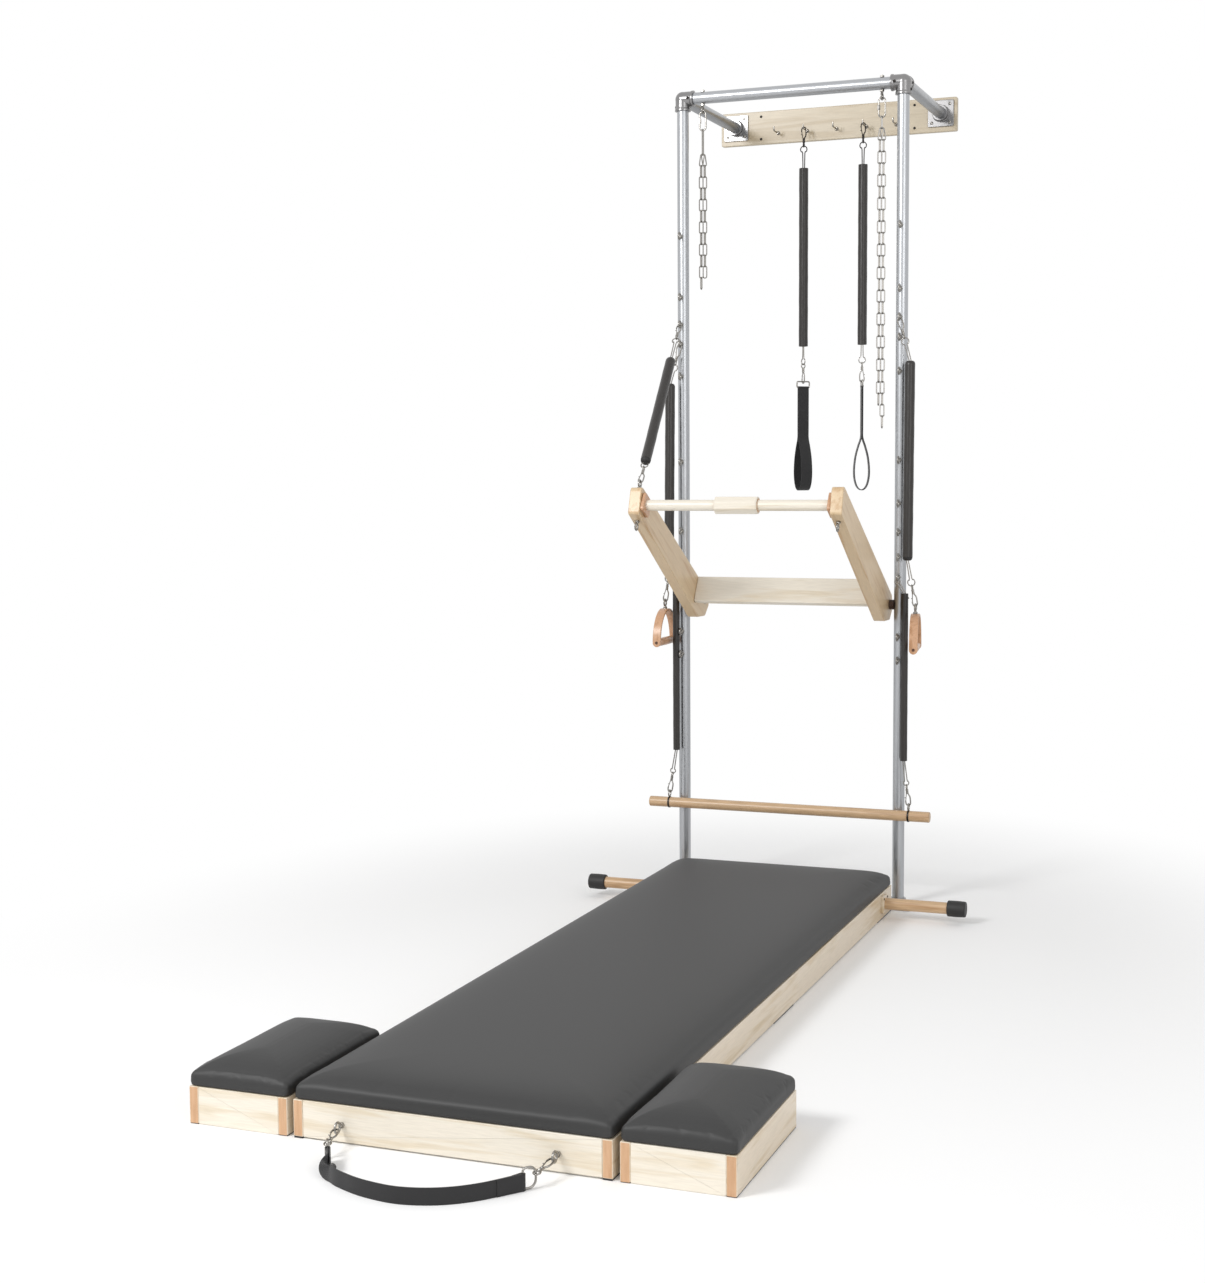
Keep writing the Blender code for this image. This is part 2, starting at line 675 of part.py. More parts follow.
class Spring:
    """A sleeved spring from an upper hanging point to a lower hooking point."""

    def __init__(self, hang, sleeve_top, sleeve_end, hook, light=False, domed=True, top_snap=True,
                 lower_side=X):
        self.hang = Vector(hang)
        self.sleeve_top = Vector(sleeve_top)
        self.sleeve_end = Vector(sleeve_end)
        self.hook = Vector(hook)
        self.light = light
        self.domed = domed
        self.top_snap = top_snap
        self.lower_side = lower_side
        self.radius = LIGHT_SLEEVE_RADIUS if light else SLEEVE_RADIUS
        self.wall = LIGHT_SLEEVE_WALL if light else SLEEVE_WALL
        self.loop_radius = LIGHT_LOOP_RADIUS if light else LOOP_RADIUS
        self.coil_radius = self.radius - self.wall - RUNNING
        self.frame = frame_along(self.sleeve_top, self.sleeve_end - self.sleeve_top)
        self.length = (self.sleeve_end - self.sleeve_top).length

    def plug_top(self):
        """Depth of the plug that carries the sleeve, below the sleeve's top."""
        return SLEEVE_DOME + self.wall + CLEARANCE if self.domed else 0.004

    def sleeve_mesh(self):
        """The sleeve."""
        return moved(sleeve(self.radius, self.wall, self.length, self.domed), self.frame)

    def top_mesh(self):
        """The spring's fixed upper end, with its snap hook and the plug that carries the sleeve."""
        end = spring_end(self.hang, self.sleeve_top, self.top_snap, self.loop_radius,
                         bury=self.plug_top() + PLUG_LENGTH * 0.5)
        width = self.radius - self.wall * 0.5 if self.light else self.coil_radius
        plug = rod(width, PLUG_LENGTH, SLIM)
        plug = moved(plug, self.frame @ at((0, 0, -self.plug_top() - PLUG_LENGTH)))
        return united([plug, end])

    def tail_mesh(self):
        """The coil with its lower end loop, the lower snap hook and the cap on a domed spring."""
        start = self.plug_top() + PLUG_LENGTH + 0.001
        floor = 0.004
        depth = self.length + (CAP_RIM if self.domed else -CAP_RIM)
        outer = self.coil_radius
        bore = outer - COIL_WIRE
        profile = [(0, -depth), (outer, -depth), (outer, -start), (bore, -start), (bore, -depth + floor),
                   (0, -depth + floor)]
        coil = moved(turned(profile, SLIM), self.frame)
        tip = self.frame @ Vector((0, 0, -depth))
        parts = [coil, spring_end(self.hook, tip, True, self.loop_radius, self.lower_side, bury=floor * 0.5)]
        if self.domed:
            parts.append(moved(end_cap(self.radius), self.frame @ at((0, 0, -self.length - CLEARANCE))))
        return united(parts)


def rectangular_ring(width, height, wire_radius):
    """A rectangular ring in the XZ plane, hanging from the middle of its top bar at the origin."""
    w = width / 2
    bend = 0.004
    corners = [(w - bend, 0), (w, -bend), (w, bend - height), (w - bend, -height),
               (bend - w, -height), (-w, bend - height), (-w, -bend), (bend - w, 0)]
    return wire([(u, 0.0, v) for u, v in corners], wire_radius, cyclic=True)


class Unit:
    """The wall unit: its empties, and the pieces that ride on them."""

    def __init__(self):
        self.palette = Palette()
        self.places = {}
        self.empties = {}
        self.eye = eyebolt()
        self.foot_route = self.foot_band_route()
        # The footprint runs from the foot strap's band to the wall board's back.
        front = min(place.y for place in self.foot_route) - FOOT_BAND_THICKNESS / 2
        self.offset = -(front + BOARD_BACK) / 2
        self.body("tower", (0, 0, 0))
        self.empties["tower"].location = (0, self.offset, 0)

    def body(self, name, place, parent=None):
        """Adds the empty that a moving body hangs on, at its joint."""
        empty = bpy.data.objects.new(name + "_joint" if parent else name, None)
        bpy.context.scene.collection.objects.link(empty)
        self.places[name] = Vector(place)
        self.empties[name] = empty
        if parent:
            empty.parent = self.empties[parent]
            empty.location = self.places[name] - self.places[parent]

    def add(self, name, mesh, finish, body="tower"):
        """Adds a piece, modelled in the tower's frame, to its body."""
        mesh.transform(at(-self.places[body]))
        mesh.name = name
        mesh.materials.clear()
        mesh.materials.append(finish)
        mesh.shade_smooth()
        mesh.set_sharp_from_angle(angle=math.radians(35))
        thing = bpy.data.objects.new(name, mesh)
        bpy.context.scene.collection.objects.link(thing)
        thing.parent = self.empties[body]
        return thing

    def build(self):
        """Builds every sub-assembly."""
        self.build_tower()
        self.build_wall_board()
        self.build_mat()
        self.build_boxes()
        self.build_head_rod()
        self.build_push_bar()
        self.build_push_spring()
        self.build_handles()
        self.build_roll_bar()
        self.build_hanging_loops()
        self.build_chains()
        self.build_foot_strap()

    def build_tower(self):
        """The poles, the top tubes, the corner fittings, the wall flanges and the feet."""
        finish = self.palette.tube
        eyes = joined([eye_placed((0, EYE_Y, height), Y, template=self.eye) for height in EYE_HEIGHTS])
        bolt_hole = between(rod(bored(PIVOT_BOLT_RADIUS, segments=FINE), 4 * TUBE_RADIUS, FINE),
                            (-2 * TUBE_RADIUS, 0, PIVOT_HEIGHT), (2 * TUBE_RADIUS, 0, PIVOT_HEIGHT))
        foot = FOOT_THICKNESS + CLEARANCE
        pole = moved(tube(TUBE_RADIUS, TUBE_WALL, TOWER_HEIGHT - SOCKET_FLOOR - foot), at((0, 0, foot)))
        pole = boolean(boolean(pole, bolt_hole, "DIFFERENCE"), eyes, "UNION")
        for name, sign in SIDES:
            self.add(name + "_pole", moved(pole, at((sign * HALF_TOWER, 0, 0))), finish)
        ends = HALF_TOWER - SOCKET_FLOOR
        cross = between(tube(TUBE_RADIUS, TUBE_WALL, 2 * ends), (-ends, 0, TOWER_HEIGHT), (ends, 0, TOWER_HEIGHT))
        self.add("cross_tube", boolean(cross, self.chain_eyebolts(), "UNION"), finish)
        for name, sign in SIDES:
            start = (sign * HALF_TOWER, SOCKET_FLOOR, TOWER_HEIGHT)
            end = (sign * HALF_TOWER, TOWER_DEPTH - FLANGE_THICKNESS, TOWER_HEIGHT)
            length = end[1] - start[1] - CLEARANCE
            self.add(name + "_depth_tube", between(tube(TUBE_RADIUS, TUBE_WALL, length), start, end), finish)
            self.add(name + "_corner_fitting", self.corner_fitting(sign), finish)
            self.add(name + "_wall_flange", self.wall_flange(sign), finish)
            self.add(name + "_pole_foot", self.pole_foot(sign), finish)

    def chain_eyebolts(self):
        """The two long eyebolts through the cross tube, each with its nut on top."""
        through = 2 * TUBE_RADIUS + BOLT_NUT_LENGTH + 0.002
        long_eye = eyebolt(through)
        nut = rod(EYE_NUT_RADIUS, BOLT_NUT_LENGTH + SEAT, 6)
        bolts = []
        for _, sign in SIDES:
            nut_place = (sign * CHAIN_OFFSET, 0, TOWER_HEIGHT + TUBE_RADIUS - SEAT)
            bolts.append(united([eye_placed(self.chain_eye(sign), Z, template=long_eye), moved(nut, at(nut_place))]))
        return joined(bolts)

    def corner_fitting(self, sign):
        """A three-way corner: a ball with a lipped socket on each side, each bored for its tube."""
        lip = FITTING_REACH - FITTING_LIP_LENGTH
        arm = turned([(0, 0), (FITTING_RADIUS, 0), (FITTING_RADIUS, lip),
                      (FITTING_RADIUS + FITTING_LIP, lip + FITTING_LIP),
                      (FITTING_RADIUS + FITTING_LIP, FITTING_REACH), (0, FITTING_REACH)])
        ball = bmesh.new()
        bmesh.ops.create_uvsphere(ball, u_segments=ROUND, v_segments=FINE + 2, radius=FITTING_RADIUS * 1.01)
        bore = rod(bored(TUBE_RADIUS), FITTING_REACH)
        # Each arm is turned a little about its own axis, so that no facets of two arms line up.
        ways = ((-X * sign, 3.0), (Y, 5.0), (-Z, 7.0))
        solid = moved(mesh_of(ball), Matrix.Rotation(math.radians(2.0), 4, (1, 1, 1)))
        for way, twist in ways:
            spin = Matrix.Rotation(math.radians(twist), 4, "Z")
            solid = boolean(solid, moved(arm, frame_along((0, 0, 0), -way) @ spin), "UNION")
        for way, _ in ways:
            start = way * (SOCKET_FLOOR - CLEARANCE)
            solid = boolean(solid, between(bore, start, start + way), "DIFFERENCE")
        return moved(solid, at((sign * HALF_TOWER, 0, TOWER_HEIGHT)))

    def wall_flange(self, sign):
        """A square flange with the collar that holds a depth tube."""
        middle = TOWER_DEPTH - CLEARANCE - FLANGE_THICKNESS / 2
        plate = board((FLANGE_SIZE, FLANGE_THICKNESS, FLANGE_SIZE), (0, middle, 0), 0.0012)
        collar = between(rod(FLANGE_COLLAR_RADIUS, FLANGE_COLLAR_LENGTH), (0, middle, 0), (0, 0, 0))
        bore = between(rod(bored(TUBE_RADIUS), FLANGE_COLLAR_LENGTH * 2),
                       (0, TOWER_DEPTH - FLANGE_THICKNESS, 0), (0, 0, 0))
        solid = boolean(united([plate, collar]), bore, "DIFFERENCE")
        return moved(solid, at((sign * HALF_TOWER, 0, TOWER_HEIGHT)))

    def pole_foot(self, sign):
        """A thin floor plate with the collar that a pole stands in."""
        length = FOOT_FRONT + FOOT_BACK
        centre = (0, (FOOT_BACK - FOOT_FRONT) / 2, FOOT_THICKNESS / 2)
        plate = board((FOOT_WIDTH, length, FOOT_THICKNESS), centre, 0.001)
        collar = rod(FLANGE_COLLAR_RADIUS - 0.001, FOOT_THICKNESS + FOOT_COLLAR_LENGTH - 0.001)
        bore = moved(rod(bored(TUBE_RADIUS), 0.05), at((0, 0, FOOT_THICKNESS)))
        solid = united([plate, moved(collar, at((0, 0, 0.001)))])
        return moved(boolean(solid, bore, "DIFFERENCE"), at((sign * HALF_TOWER, 0, 0)))

    def hook_places(self):
        """Where the hooks' shanks leave the wall board."""
        middle = (HOOK_COUNT - 1) / 2
        return [Vector(((k - middle) * HOOK_PITCH, TOWER_DEPTH, TOWER_HEIGHT - HOOK_DROP))
                for k in range(HOOK_COUNT)]

    def build_wall_board(self):
        """The board on the wall, with its screw hooks driven in."""
        outline = rounded_outline(rectangle(BOARD_WIDTH, BOARD_HEIGHT, BOARD_CORNER))
        matrix = at((0, TOWER_DEPTH, TOWER_HEIGHT - BOARD_DROP)) @ Matrix.Rotation(math.pi / 2, 4, "Z")
        plank = moved(extruded(outline, BOARD_THICKNESS), matrix)
        hooks = joined([self.wall_hook(place) for place in self.hook_places()])
        self.add("wall_board", boolean(plank, hooks, "UNION"), self.palette.maple)

    def wall_hook(self, place):
        """A screw hook: a shank out of the board and a tip turned up."""
        turn = place - Y * HOOK_REACH
        points = [place + Y * HOOK_BITE, turn]
        for angle in (30, 60, 90):
            a = math.radians(angle)
            points.append(turn + Vector((0, -HOOK_TURN * math.sin(a), HOOK_TURN * (1 - math.cos(a)))))
        points.append(points[-1] + Z * HOOK_TIP)
        return wire(points, HOOK_WIRE)

    def chain_eye(self, sign):
        """Centre of a chain eyebolt's ring, under the cross tube."""
        return Vector((sign * CHAIN_OFFSET, 0, TOWER_HEIGHT - TUBE_RADIUS - EYE_STANDOFF))

    def foot_eye(self, sign):
        """Centre of a foot strap eyebolt's ring, in front of the mat."""
        return Vector((sign * FOOT_EYE_OFFSET, MAT_FRONT - EYE_STANDOFF, FOOT_EYE_HEIGHT))

    def build_mat(self):
        """The mat's rails on their pads, its end boards, deck and cushion."""
        wood = self.palette.maple
        low = PAD_HEIGHT
        length = MAT_REAR - MAT_FRONT
        middle = (MAT_REAR + MAT_FRONT) / 2
        height = FRAME_HEIGHT - low
        hole = between(rod(bored(HEAD_ROD_RADIUS), 2 * MAT_WIDTH),
                       (-MAT_WIDTH, HEAD_ROD_Y, HEAD_ROD_Z), (MAT_WIDTH, HEAD_ROD_Y, HEAD_ROD_Z))
        pad_size = (FRAME_BOARD - 0.002, PAD_LENGTH, PAD_HEIGHT + SEAT)
        for name, sign in SIDES:
            x = sign * (MAT_WIDTH - FRAME_BOARD) / 2
            parts = [board((FRAME_BOARD, length, height), (x, middle, low + height / 2))]
            for y in (MAT_FRONT + PAD_LENGTH / 2, middle, MAT_REAR - PAD_LENGTH / 2):
                parts.append(board(pad_size, (x, y, (PAD_HEIGHT + SEAT) / 2), 0))
            plate_x = sign * (MAT_WIDTH / 2 - SEAT + HEAD_PLATE[0] / 2)
            parts.append(board(HEAD_PLATE, (plate_x, HEAD_ROD_Y, HEAD_ROD_Z), 0.001))
            self.add("mat_%s_rail" % name, boolean(united(parts), hole, "DIFFERENCE"), wood)
        inner = MAT_WIDTH - 2 * FRAME_BOARD - 2 * CLEARANCE
        front = board((inner, FRAME_BOARD, height), (0, MAT_FRONT + FRAME_BOARD / 2, low + height / 2))
        rear = board((inner, FRAME_BOARD, height), (0, MAT_REAR - FRAME_BOARD / 2, low + height / 2))
        eyes = joined([eye_placed(self.foot_eye(sign), Y, template=self.eye) for _, sign in SIDES])
        self.add("mat_front_board", boolean(front, eyes, "UNION"), wood)
        self.add("mat_rear_board", rear, wood)
        self.add_deck("mat_deck", (0, middle), inner, length - 2 * FRAME_BOARD - 2 * CLEARANCE, BATTEN_COUNT)
        pad = cushion(MAT_WIDTH + 2 * CUSHION_OVERHANG, length + 2 * CUSHION_OVERHANG)
        self.add("mat_cushion", moved(pad, at((0, middle, FRAME_HEIGHT + CLEARANCE))), self.palette.vinyl)

    def add_deck(self, name, centre, width, length, battens):
        """A thin panel flush with its frame's top, glued on battens that run across."""
        x, y = centre
        top = FRAME_HEIGHT - DECK_THICKNESS / 2
        parts = [board((width, length, DECK_THICKNESS), (x, y, top), 0)]
        z = FRAME_HEIGHT - DECK_THICKNESS + SEAT - BATTEN_HEIGHT / 2
        for k in range(battens):
            along = y + (k - (battens - 1) / 2) * length / (battens + 1)
            parts.append(board((width - SEAT, BATTEN_WIDTH, BATTEN_HEIGHT), (x, along, z), 0))
        self.add(name, united(parts), self.palette.maple)

    def build_boxes(self):
        """The two padded boxes beside the mat's front end."""
        middle = MAT_FRONT + BOX_LENGTH / 2
        for name, sign in SIDES:
            body = name + "_box"
            x = sign * (MAT_WIDTH / 2 + BOX_GAP + BOX_WIDTH / 2)
            self.body(body, (x, middle, 0), "tower")
            self.add(body + "_frame", self.box_frame(x, middle), self.palette.maple, body)
            pad = cushion(BOX_WIDTH + 2 * CUSHION_OVERHANG, BOX_LENGTH + 2 * CUSHION_OVERHANG)
            pad = moved(pad, at((x, middle, FRAME_HEIGHT + CLEARANCE)))
            self.add(body + "_cushion", pad, self.palette.vinyl, body)

    def box_frame(self, x, y):
        """A box's frame: two long boards with two short ones between them, and a thin top panel."""
        parts = []
        inner = BOX_WIDTH - 2 * FRAME_BOARD + 2 * SEAT
        for way in (-1, 1):
            side = x + way * (BOX_WIDTH - FRAME_BOARD) / 2
            parts.append(board((FRAME_BOARD, BOX_LENGTH, FRAME_HEIGHT), (side, y, FRAME_HEIGHT / 2)))
            end = y + way * (BOX_LENGTH - FRAME_BOARD) / 2
            short = FRAME_HEIGHT - 2 * SEAT
            parts.append(board((inner, FRAME_BOARD, short), (x, end, FRAME_HEIGHT / 2), 0))
        top = FRAME_HEIGHT - DECK_THICKNESS / 2 - SEAT
        parts.append(board((inner, BOX_LENGTH - 2 * FRAME_BOARD + 2 * SEAT, DECK_THICKNESS), (x, y, top), 0))
        return united(parts)

    def build_head_rod(self):
        """The rod through the mat's frame, with its end caps."""
        centre = Vector((0, HEAD_ROD_Y, HEAD_ROD_Z))
        r = HEAD_CAP_RADIUS
        end = HEAD_ROD_REACH + HEAD_CAP_END
        start = end - HEAD_CAP_LENGTH
        right = [(HEAD_ROD_RADIUS, start), (r, start), (r, end - 0.008), (r - 0.006, end), (0, end)]
        profile = [(radius, -x) for radius, x in reversed(right)] + right
        self.add("head_rod", moved(turned(profile), frame_along(centre, X, Y)), self.palette.oak)

    def arm_point(self, y, z, x=0.0):
        """A point given from the push bar's pivot, in the tower's frame."""
        return Vector((x, y, PIVOT_HEIGHT + z))

    def build_push_bar(self):
        """The push-through bar: two arms, a shelf, a rod with its grip, and the pivot bolts."""
        self.body("push_bar", (0, 0, PIVOT_HEIGHT), "tower")
        outline = rounded_outline(ARM_OUTLINE, 2)
        blank = extruded(outline, ARM_THICKNESS)
        bore = between(rod(bored(PIVOT_BOLT_RADIUS, RUNNING, SLIM), 4 * ARM_THICKNESS, SLIM),
                       (-ARM_THICKNESS, 0, PIVOT_HEIGHT), (3 * ARM_THICKNESS, 0, PIVOT_HEIGHT))
        upper, lower = self.arm_eyes()
        for name, sign in SIDES:
            inner = ARM_INNER if sign > 0 else -ARM_INNER - ARM_THICKNESS
            centre = sign * (ARM_INNER + ARM_THICKNESS / 2)
            wanted = [lower] + ([upper] if sign < 0 else [])
            spots = [(self.arm_point(place.y, place.z, centre), way) for place, way in wanted]
            eyes = joined([eye_placed(spot, way, template=self.eye) for spot, way in spots])
            arm = boolean(moved(blank, at((inner, 0, PIVOT_HEIGHT))), moved(bore, at((inner, 0, 0))), "DIFFERENCE")
            self.add("push_%s_arm" % name, boolean(arm, eyes, "UNION"), self.palette.maple, "push_bar")
        self.add_push_rod()
        self.add_shelf()
        self.add_pivots()

    def arm_eyes(self):
        """The ring centres and shank directions of the eyebolts above and below an arm's tip."""
        tip = Vector((0, *ARM_OUTLINE[0][:2]))
        low_tip = Vector((0, *ARM_OUTLINE[1][:2]))
        top_way = (Vector((0, *ARM_OUTLINE[5][:2])) - tip).normalized()
        low_way = (Vector((0, *ARM_OUTLINE[2][:2])) - low_tip).normalized()
        top_normal = Vector((0, -top_way.z, top_way.y))
        low_normal = Vector((0, low_way.z, -low_way.y))
        upper = tip + top_way * PUSH_EYE_ALONG + top_normal * EYE_STANDOFF
        lower = low_tip + low_way * (LOWER_EYE_ALONG + PUSH_EYE_ALONG) + low_normal * EYE_STANDOFF
        return (upper, -top_normal), (lower, -low_normal)

    def add_push_rod(self):
        """The round rod between the arms with an end plate at each arm and an eight-sided grip."""
        centre = self.arm_point(PUSH_ROD_Y, PUSH_ROD_Z)
        reach = ARM_INNER - CLEARANCE
        parts = [between(rod(PUSH_ROD_RADIUS, 2 * reach), centre - X * reach, centre + X * reach)]
        outline = rounded_outline(rectangle(END_PLATE_SIZE, END_PLATE_SIZE, 0.008), 2)
        plate = moved(extruded(outline, END_PLATE_THICKNESS, 0), Matrix.Rotation(-SHELF_SLOPE, 4, "X"))
        for _, sign in SIDES:
            x = reach - END_PLATE_THICKNESS if sign > 0 else -reach
            parts.append(moved(plate, at((x, centre.y, centre.z))))
        half = GRIP_LENGTH / 2
        across = GRIP_WIDTH / 2 / math.cos(math.pi / 8)
        end = across - GRIP_CHAMFER
        profile = [(0, -half), (end, -half), (across, GRIP_CHAMFER - half), (across, half - GRIP_CHAMFER),
                   (end, half), (0, half)]
        grip = moved(turned(profile, 8), Matrix.Rotation(math.pi / 8, 4, "Z"))
        parts.append(moved(grip, frame_along(centre, X, Y)))
        self.add("push_rod", united(parts), self.palette.maple, "push_bar")

    def add_shelf(self):
        """The shelf between the arms, square to them and near the pivot."""
        width = 2 * (ARM_INNER - CLEARANCE)
        depth = SHELF_HIGH - SHELF_LOW
        plank = board((width, SHELF_THICKNESS, depth), (0, 0, 0), 0.002)
        lean = Matrix.Rotation(-SHELF_SLOPE, 4, "X")
        along = lean @ (-Y)
        across = lean @ Z
        centre = along * (SHELF_ALONG - SHELF_THICKNESS / 2) + across * (SHELF_HIGH + SHELF_LOW) / 2
        self.add("push_shelf", moved(plank, at(self.arm_point(centre.y, centre.z)) @ lean),
                 self.palette.maple, "push_bar")

    def add_pivots(self):
        """The bolts that the push bar turns on, each with the spacer between arm and pole."""
        head = PIVOT_HEAD_LENGTH
        inner = ARM_INNER - CLEARANCE
        outer = HALF_TOWER + TUBE_RADIUS + CLEARANCE
        profile = [(0, -head), (PIVOT_HEAD_RADIUS, -head), (PIVOT_HEAD_RADIUS, 0), (PIVOT_BOLT_RADIUS, 0),
                   (PIVOT_BOLT_RADIUS, outer - inner), (PIVOT_HEAD_RADIUS, outer - inner),
                   (PIVOT_HEAD_RADIUS, outer - inner + head), (0, outer - inner + head)]
        start = ARM_INNER + ARM_THICKNESS + CLEARANCE
        end = HALF_TOWER - TUBE_RADIUS - CLEARANCE
        for name, sign in SIDES:
            base = Vector((sign * inner, 0, PIVOT_HEIGHT))
            bolt = between(turned(profile, SLIM), base, base + X * sign)
            ring = tube(SPACER_RADIUS, SPACER_RADIUS - PIVOT_BOLT_RADIUS + SEAT, end - start)
            base = Vector((sign * start, 0, PIVOT_HEIGHT))
            spacer = between(ring, base, base + X * sign)
            self.add(name + "_pivot_bolt", united([bolt, spacer]), self.palette.nickel)

    def add_spring(self, prefix, spring, bodies):
        """Adds a spring's sleeve and upper hardware to one body and its tail to the other."""
        upper, lower = bodies
        self.add(prefix + "_sleeve", spring.sleeve_mesh(), self.palette.sleeve, upper)
        self.add(prefix + "_top_snap", spring.top_mesh(), self.palette.nickel, upper)
        self.add(prefix + "_coil", spring.tail_mesh(), self.palette.nickel, lower)

    def build_push_spring(self):
        """The spring that holds the push bar up."""
        eye = Vector((-HALF_TOWER, EYE_Y, EYE_HEIGHTS[PUSH_SPRING_EYE]))
        (upper, _), _ = self.arm_eyes()
        ring = self.arm_point(upper.y, upper.z, -ARM_INNER - ARM_THICKNESS / 2)
        way = (eye - ring).normalized()
        hang = eye - way * (EYE_HANG - SNAP_WIRE)
        # The linkage is opened here: the snap stops just short of the ring, so that neither meets the other.
        hook = ring + way * (EYE_RADIUS + EYE_WIRE + LINKED + SNAP_WIRE)
        line = (hook - hang).normalized()
        top = hang + line * PUSH_SLEEVE_START
        spring = Spring(hang, top, top + line * PUSH_SLEEVE_LENGTH, hook)
        self.body("push_spring", hang, "tower")
        self.body("push_spring_tail", hang, "push_spring")
        self.add_spring("push_spring", spring, ("push_spring", "push_spring_tail"))
        self.report_push_coupling(hang, ring)

    def report_push_coupling(self, hang, ring):
        """Prints how the push spring follows the push bar from one limit to the other."""
        pivot = self.arm_point(0, 0)
        lowered = pivot + Matrix.Rotation(PUSH_LIMIT, 3, "X") @ (ring - pivot)
        before = ring - hang
        after = lowered - hang
        axis = before.cross(after).normalized()
        angle = before.angle(after)
        print("push spring from", tuple(round(v, 5) for v in hang + Y * self.offset))
        print("push spring turns %.4f deg about" % math.degrees(angle), tuple(round(v, 6) for v in axis))
        print("push spring stretches %.5f m along" % (after.length - before.length),
              tuple(round(v, 6) for v in before.normalized()))

    def build_handles(self):
        """The two handle springs and their handles."""
        for name, sign in SIDES:
            eye = EYE_HEIGHTS[HANDLE_EYES[name]]
            hang = Vector((sign * HALF_TOWER, EYE_Y, eye - EYE_HANG + SNAP_WIRE + SLANT_PLAY))
            x = sign * HANDLE_SLEEVE_OFFSETS[name]
            front = EYE_Y - HANDLE_LEAN
            end = Vector((x, front, HANDLE_SLEEVE_TOPS[name] - HANDLE_SLEEVE_LENGTH))
            share = (hang.z - HANDLE_SLEEVE_TOPS[name]) / (hang.z - end.z)
            top = Vector((x, EYE_Y - HANDLE_LEAN * share, HANDLE_SLEEVE_TOPS[name]))
            ring = Vector((sign * HANDLE_OFFSETS[name], front, end.z - HANDLE_SNAP_DROPS[name]))
            hook = ring + Z * (EYE_HANG - SNAP_WIRE)
            spring = Spring(hang, top, end, hook)
            prefix = name + "_handle_spring"
            self.body(prefix, hang, "tower")
            self.body(prefix + "_tail", top, prefix)
            self.add_spring(prefix, spring, (prefix, prefix + "_tail"))
            self.body(name + "_handle", hook, prefix + "_tail")
            self.add_handle(name, ring, HANDLE_TURNS[name])

    def add_handle(self, name, ring, turn):
        """A handle: a bent wooden bow, a round grip between its ends and an eye on top."""
        body = name + "_handle"
        place = at(ring) @ Matrix.Rotation(turn, 4, "Z")
        bow = moved(self.bow(), place)
        pin = between(rod(bored(HANDLE_PIN_RADIUS, segments=SLIM), HANDLE_LENGTH * 2, SLIM),
                      (0, -HANDLE_LENGTH, HANDLE_GRIP_HEIGHT), (0, HANDLE_LENGTH, HANDLE_GRIP_HEIGHT))
        half = HANDLE_LENGTH / 2
        inner = half - HANDLE_STRIP - CLEARANCE
        shoulder = HANDLE_GRIP_RADIUS
        profile = [(0, -half), (HANDLE_PIN_RADIUS, -half), (HANDLE_PIN_RADIUS, -inner), (shoulder - 0.001, -inner),
                   (shoulder, -inner * 0.5), (shoulder, inner * 0.5), (shoulder - 0.001, inner),
                   (HANDLE_PIN_RADIUS, inner), (HANDLE_PIN_RADIUS, half), (0, half)]
        grip = moved(turned(profile, SLIM), frame_along((0, 0, HANDLE_GRIP_HEIGHT), Y))
        eye = moved(self.eye_down(HANDLE_STRIP + 0.001), at(ring))
        bow = united([boolean(bow, moved(pin, place), "DIFFERENCE"), eye])
        self.add(name + "_handle_bow", bow, self.palette.beech, body)
        self.add(name + "_handle_grip", moved(grip, place), self.palette.beech, body)

    def eye_down(self, shank):
        """A small screw eye with its shank pointing down."""
        return eye_placed((0, 0, 0), -Z, template=eyebolt(shank))

    def bow(self):
        """The bent strip of a handle, from one grip end over the top to the other."""
        half = HANDLE_LENGTH / 2
        low = HANDLE_GRIP_HEIGHT - HANDLE_END_RADIUS
        side = [(-half, low), (-half, HANDLE_GRIP_HEIGHT + 0.016), (-half * 0.80, HANDLE_GRIP_HEIGHT + 0.040),
                (-half * 0.42, HANDLE_TOP - 0.014), (-half * 0.16, HANDLE_TOP - 0.002)]
        outer = side + [(-y, z) for y, z in reversed(side)]
        strip = HANDLE_STRIP
        centre = Vector((0, low + 0.02))
        inner = []
        for k, (y, z) in enumerate(outer):
            before = Vector(outer[max(k - 1, 0)])
            after = Vector(outer[min(k + 1, len(outer) - 1)])
            along = (after - before).normalized()
            normal = Vector((along.y, -along.x))
            if normal.dot(centre - Vector((y, z))) < 0:
                normal = -normal
            inner.append(Vector((y, z)) + normal * strip)
        outline = [Vector(point) for point in outer] + inner[::-1]
        return moved(extruded(outline, HANDLE_STRIP_WIDTH, 0), at((-HANDLE_STRIP_WIDTH / 2, 0, 0)))

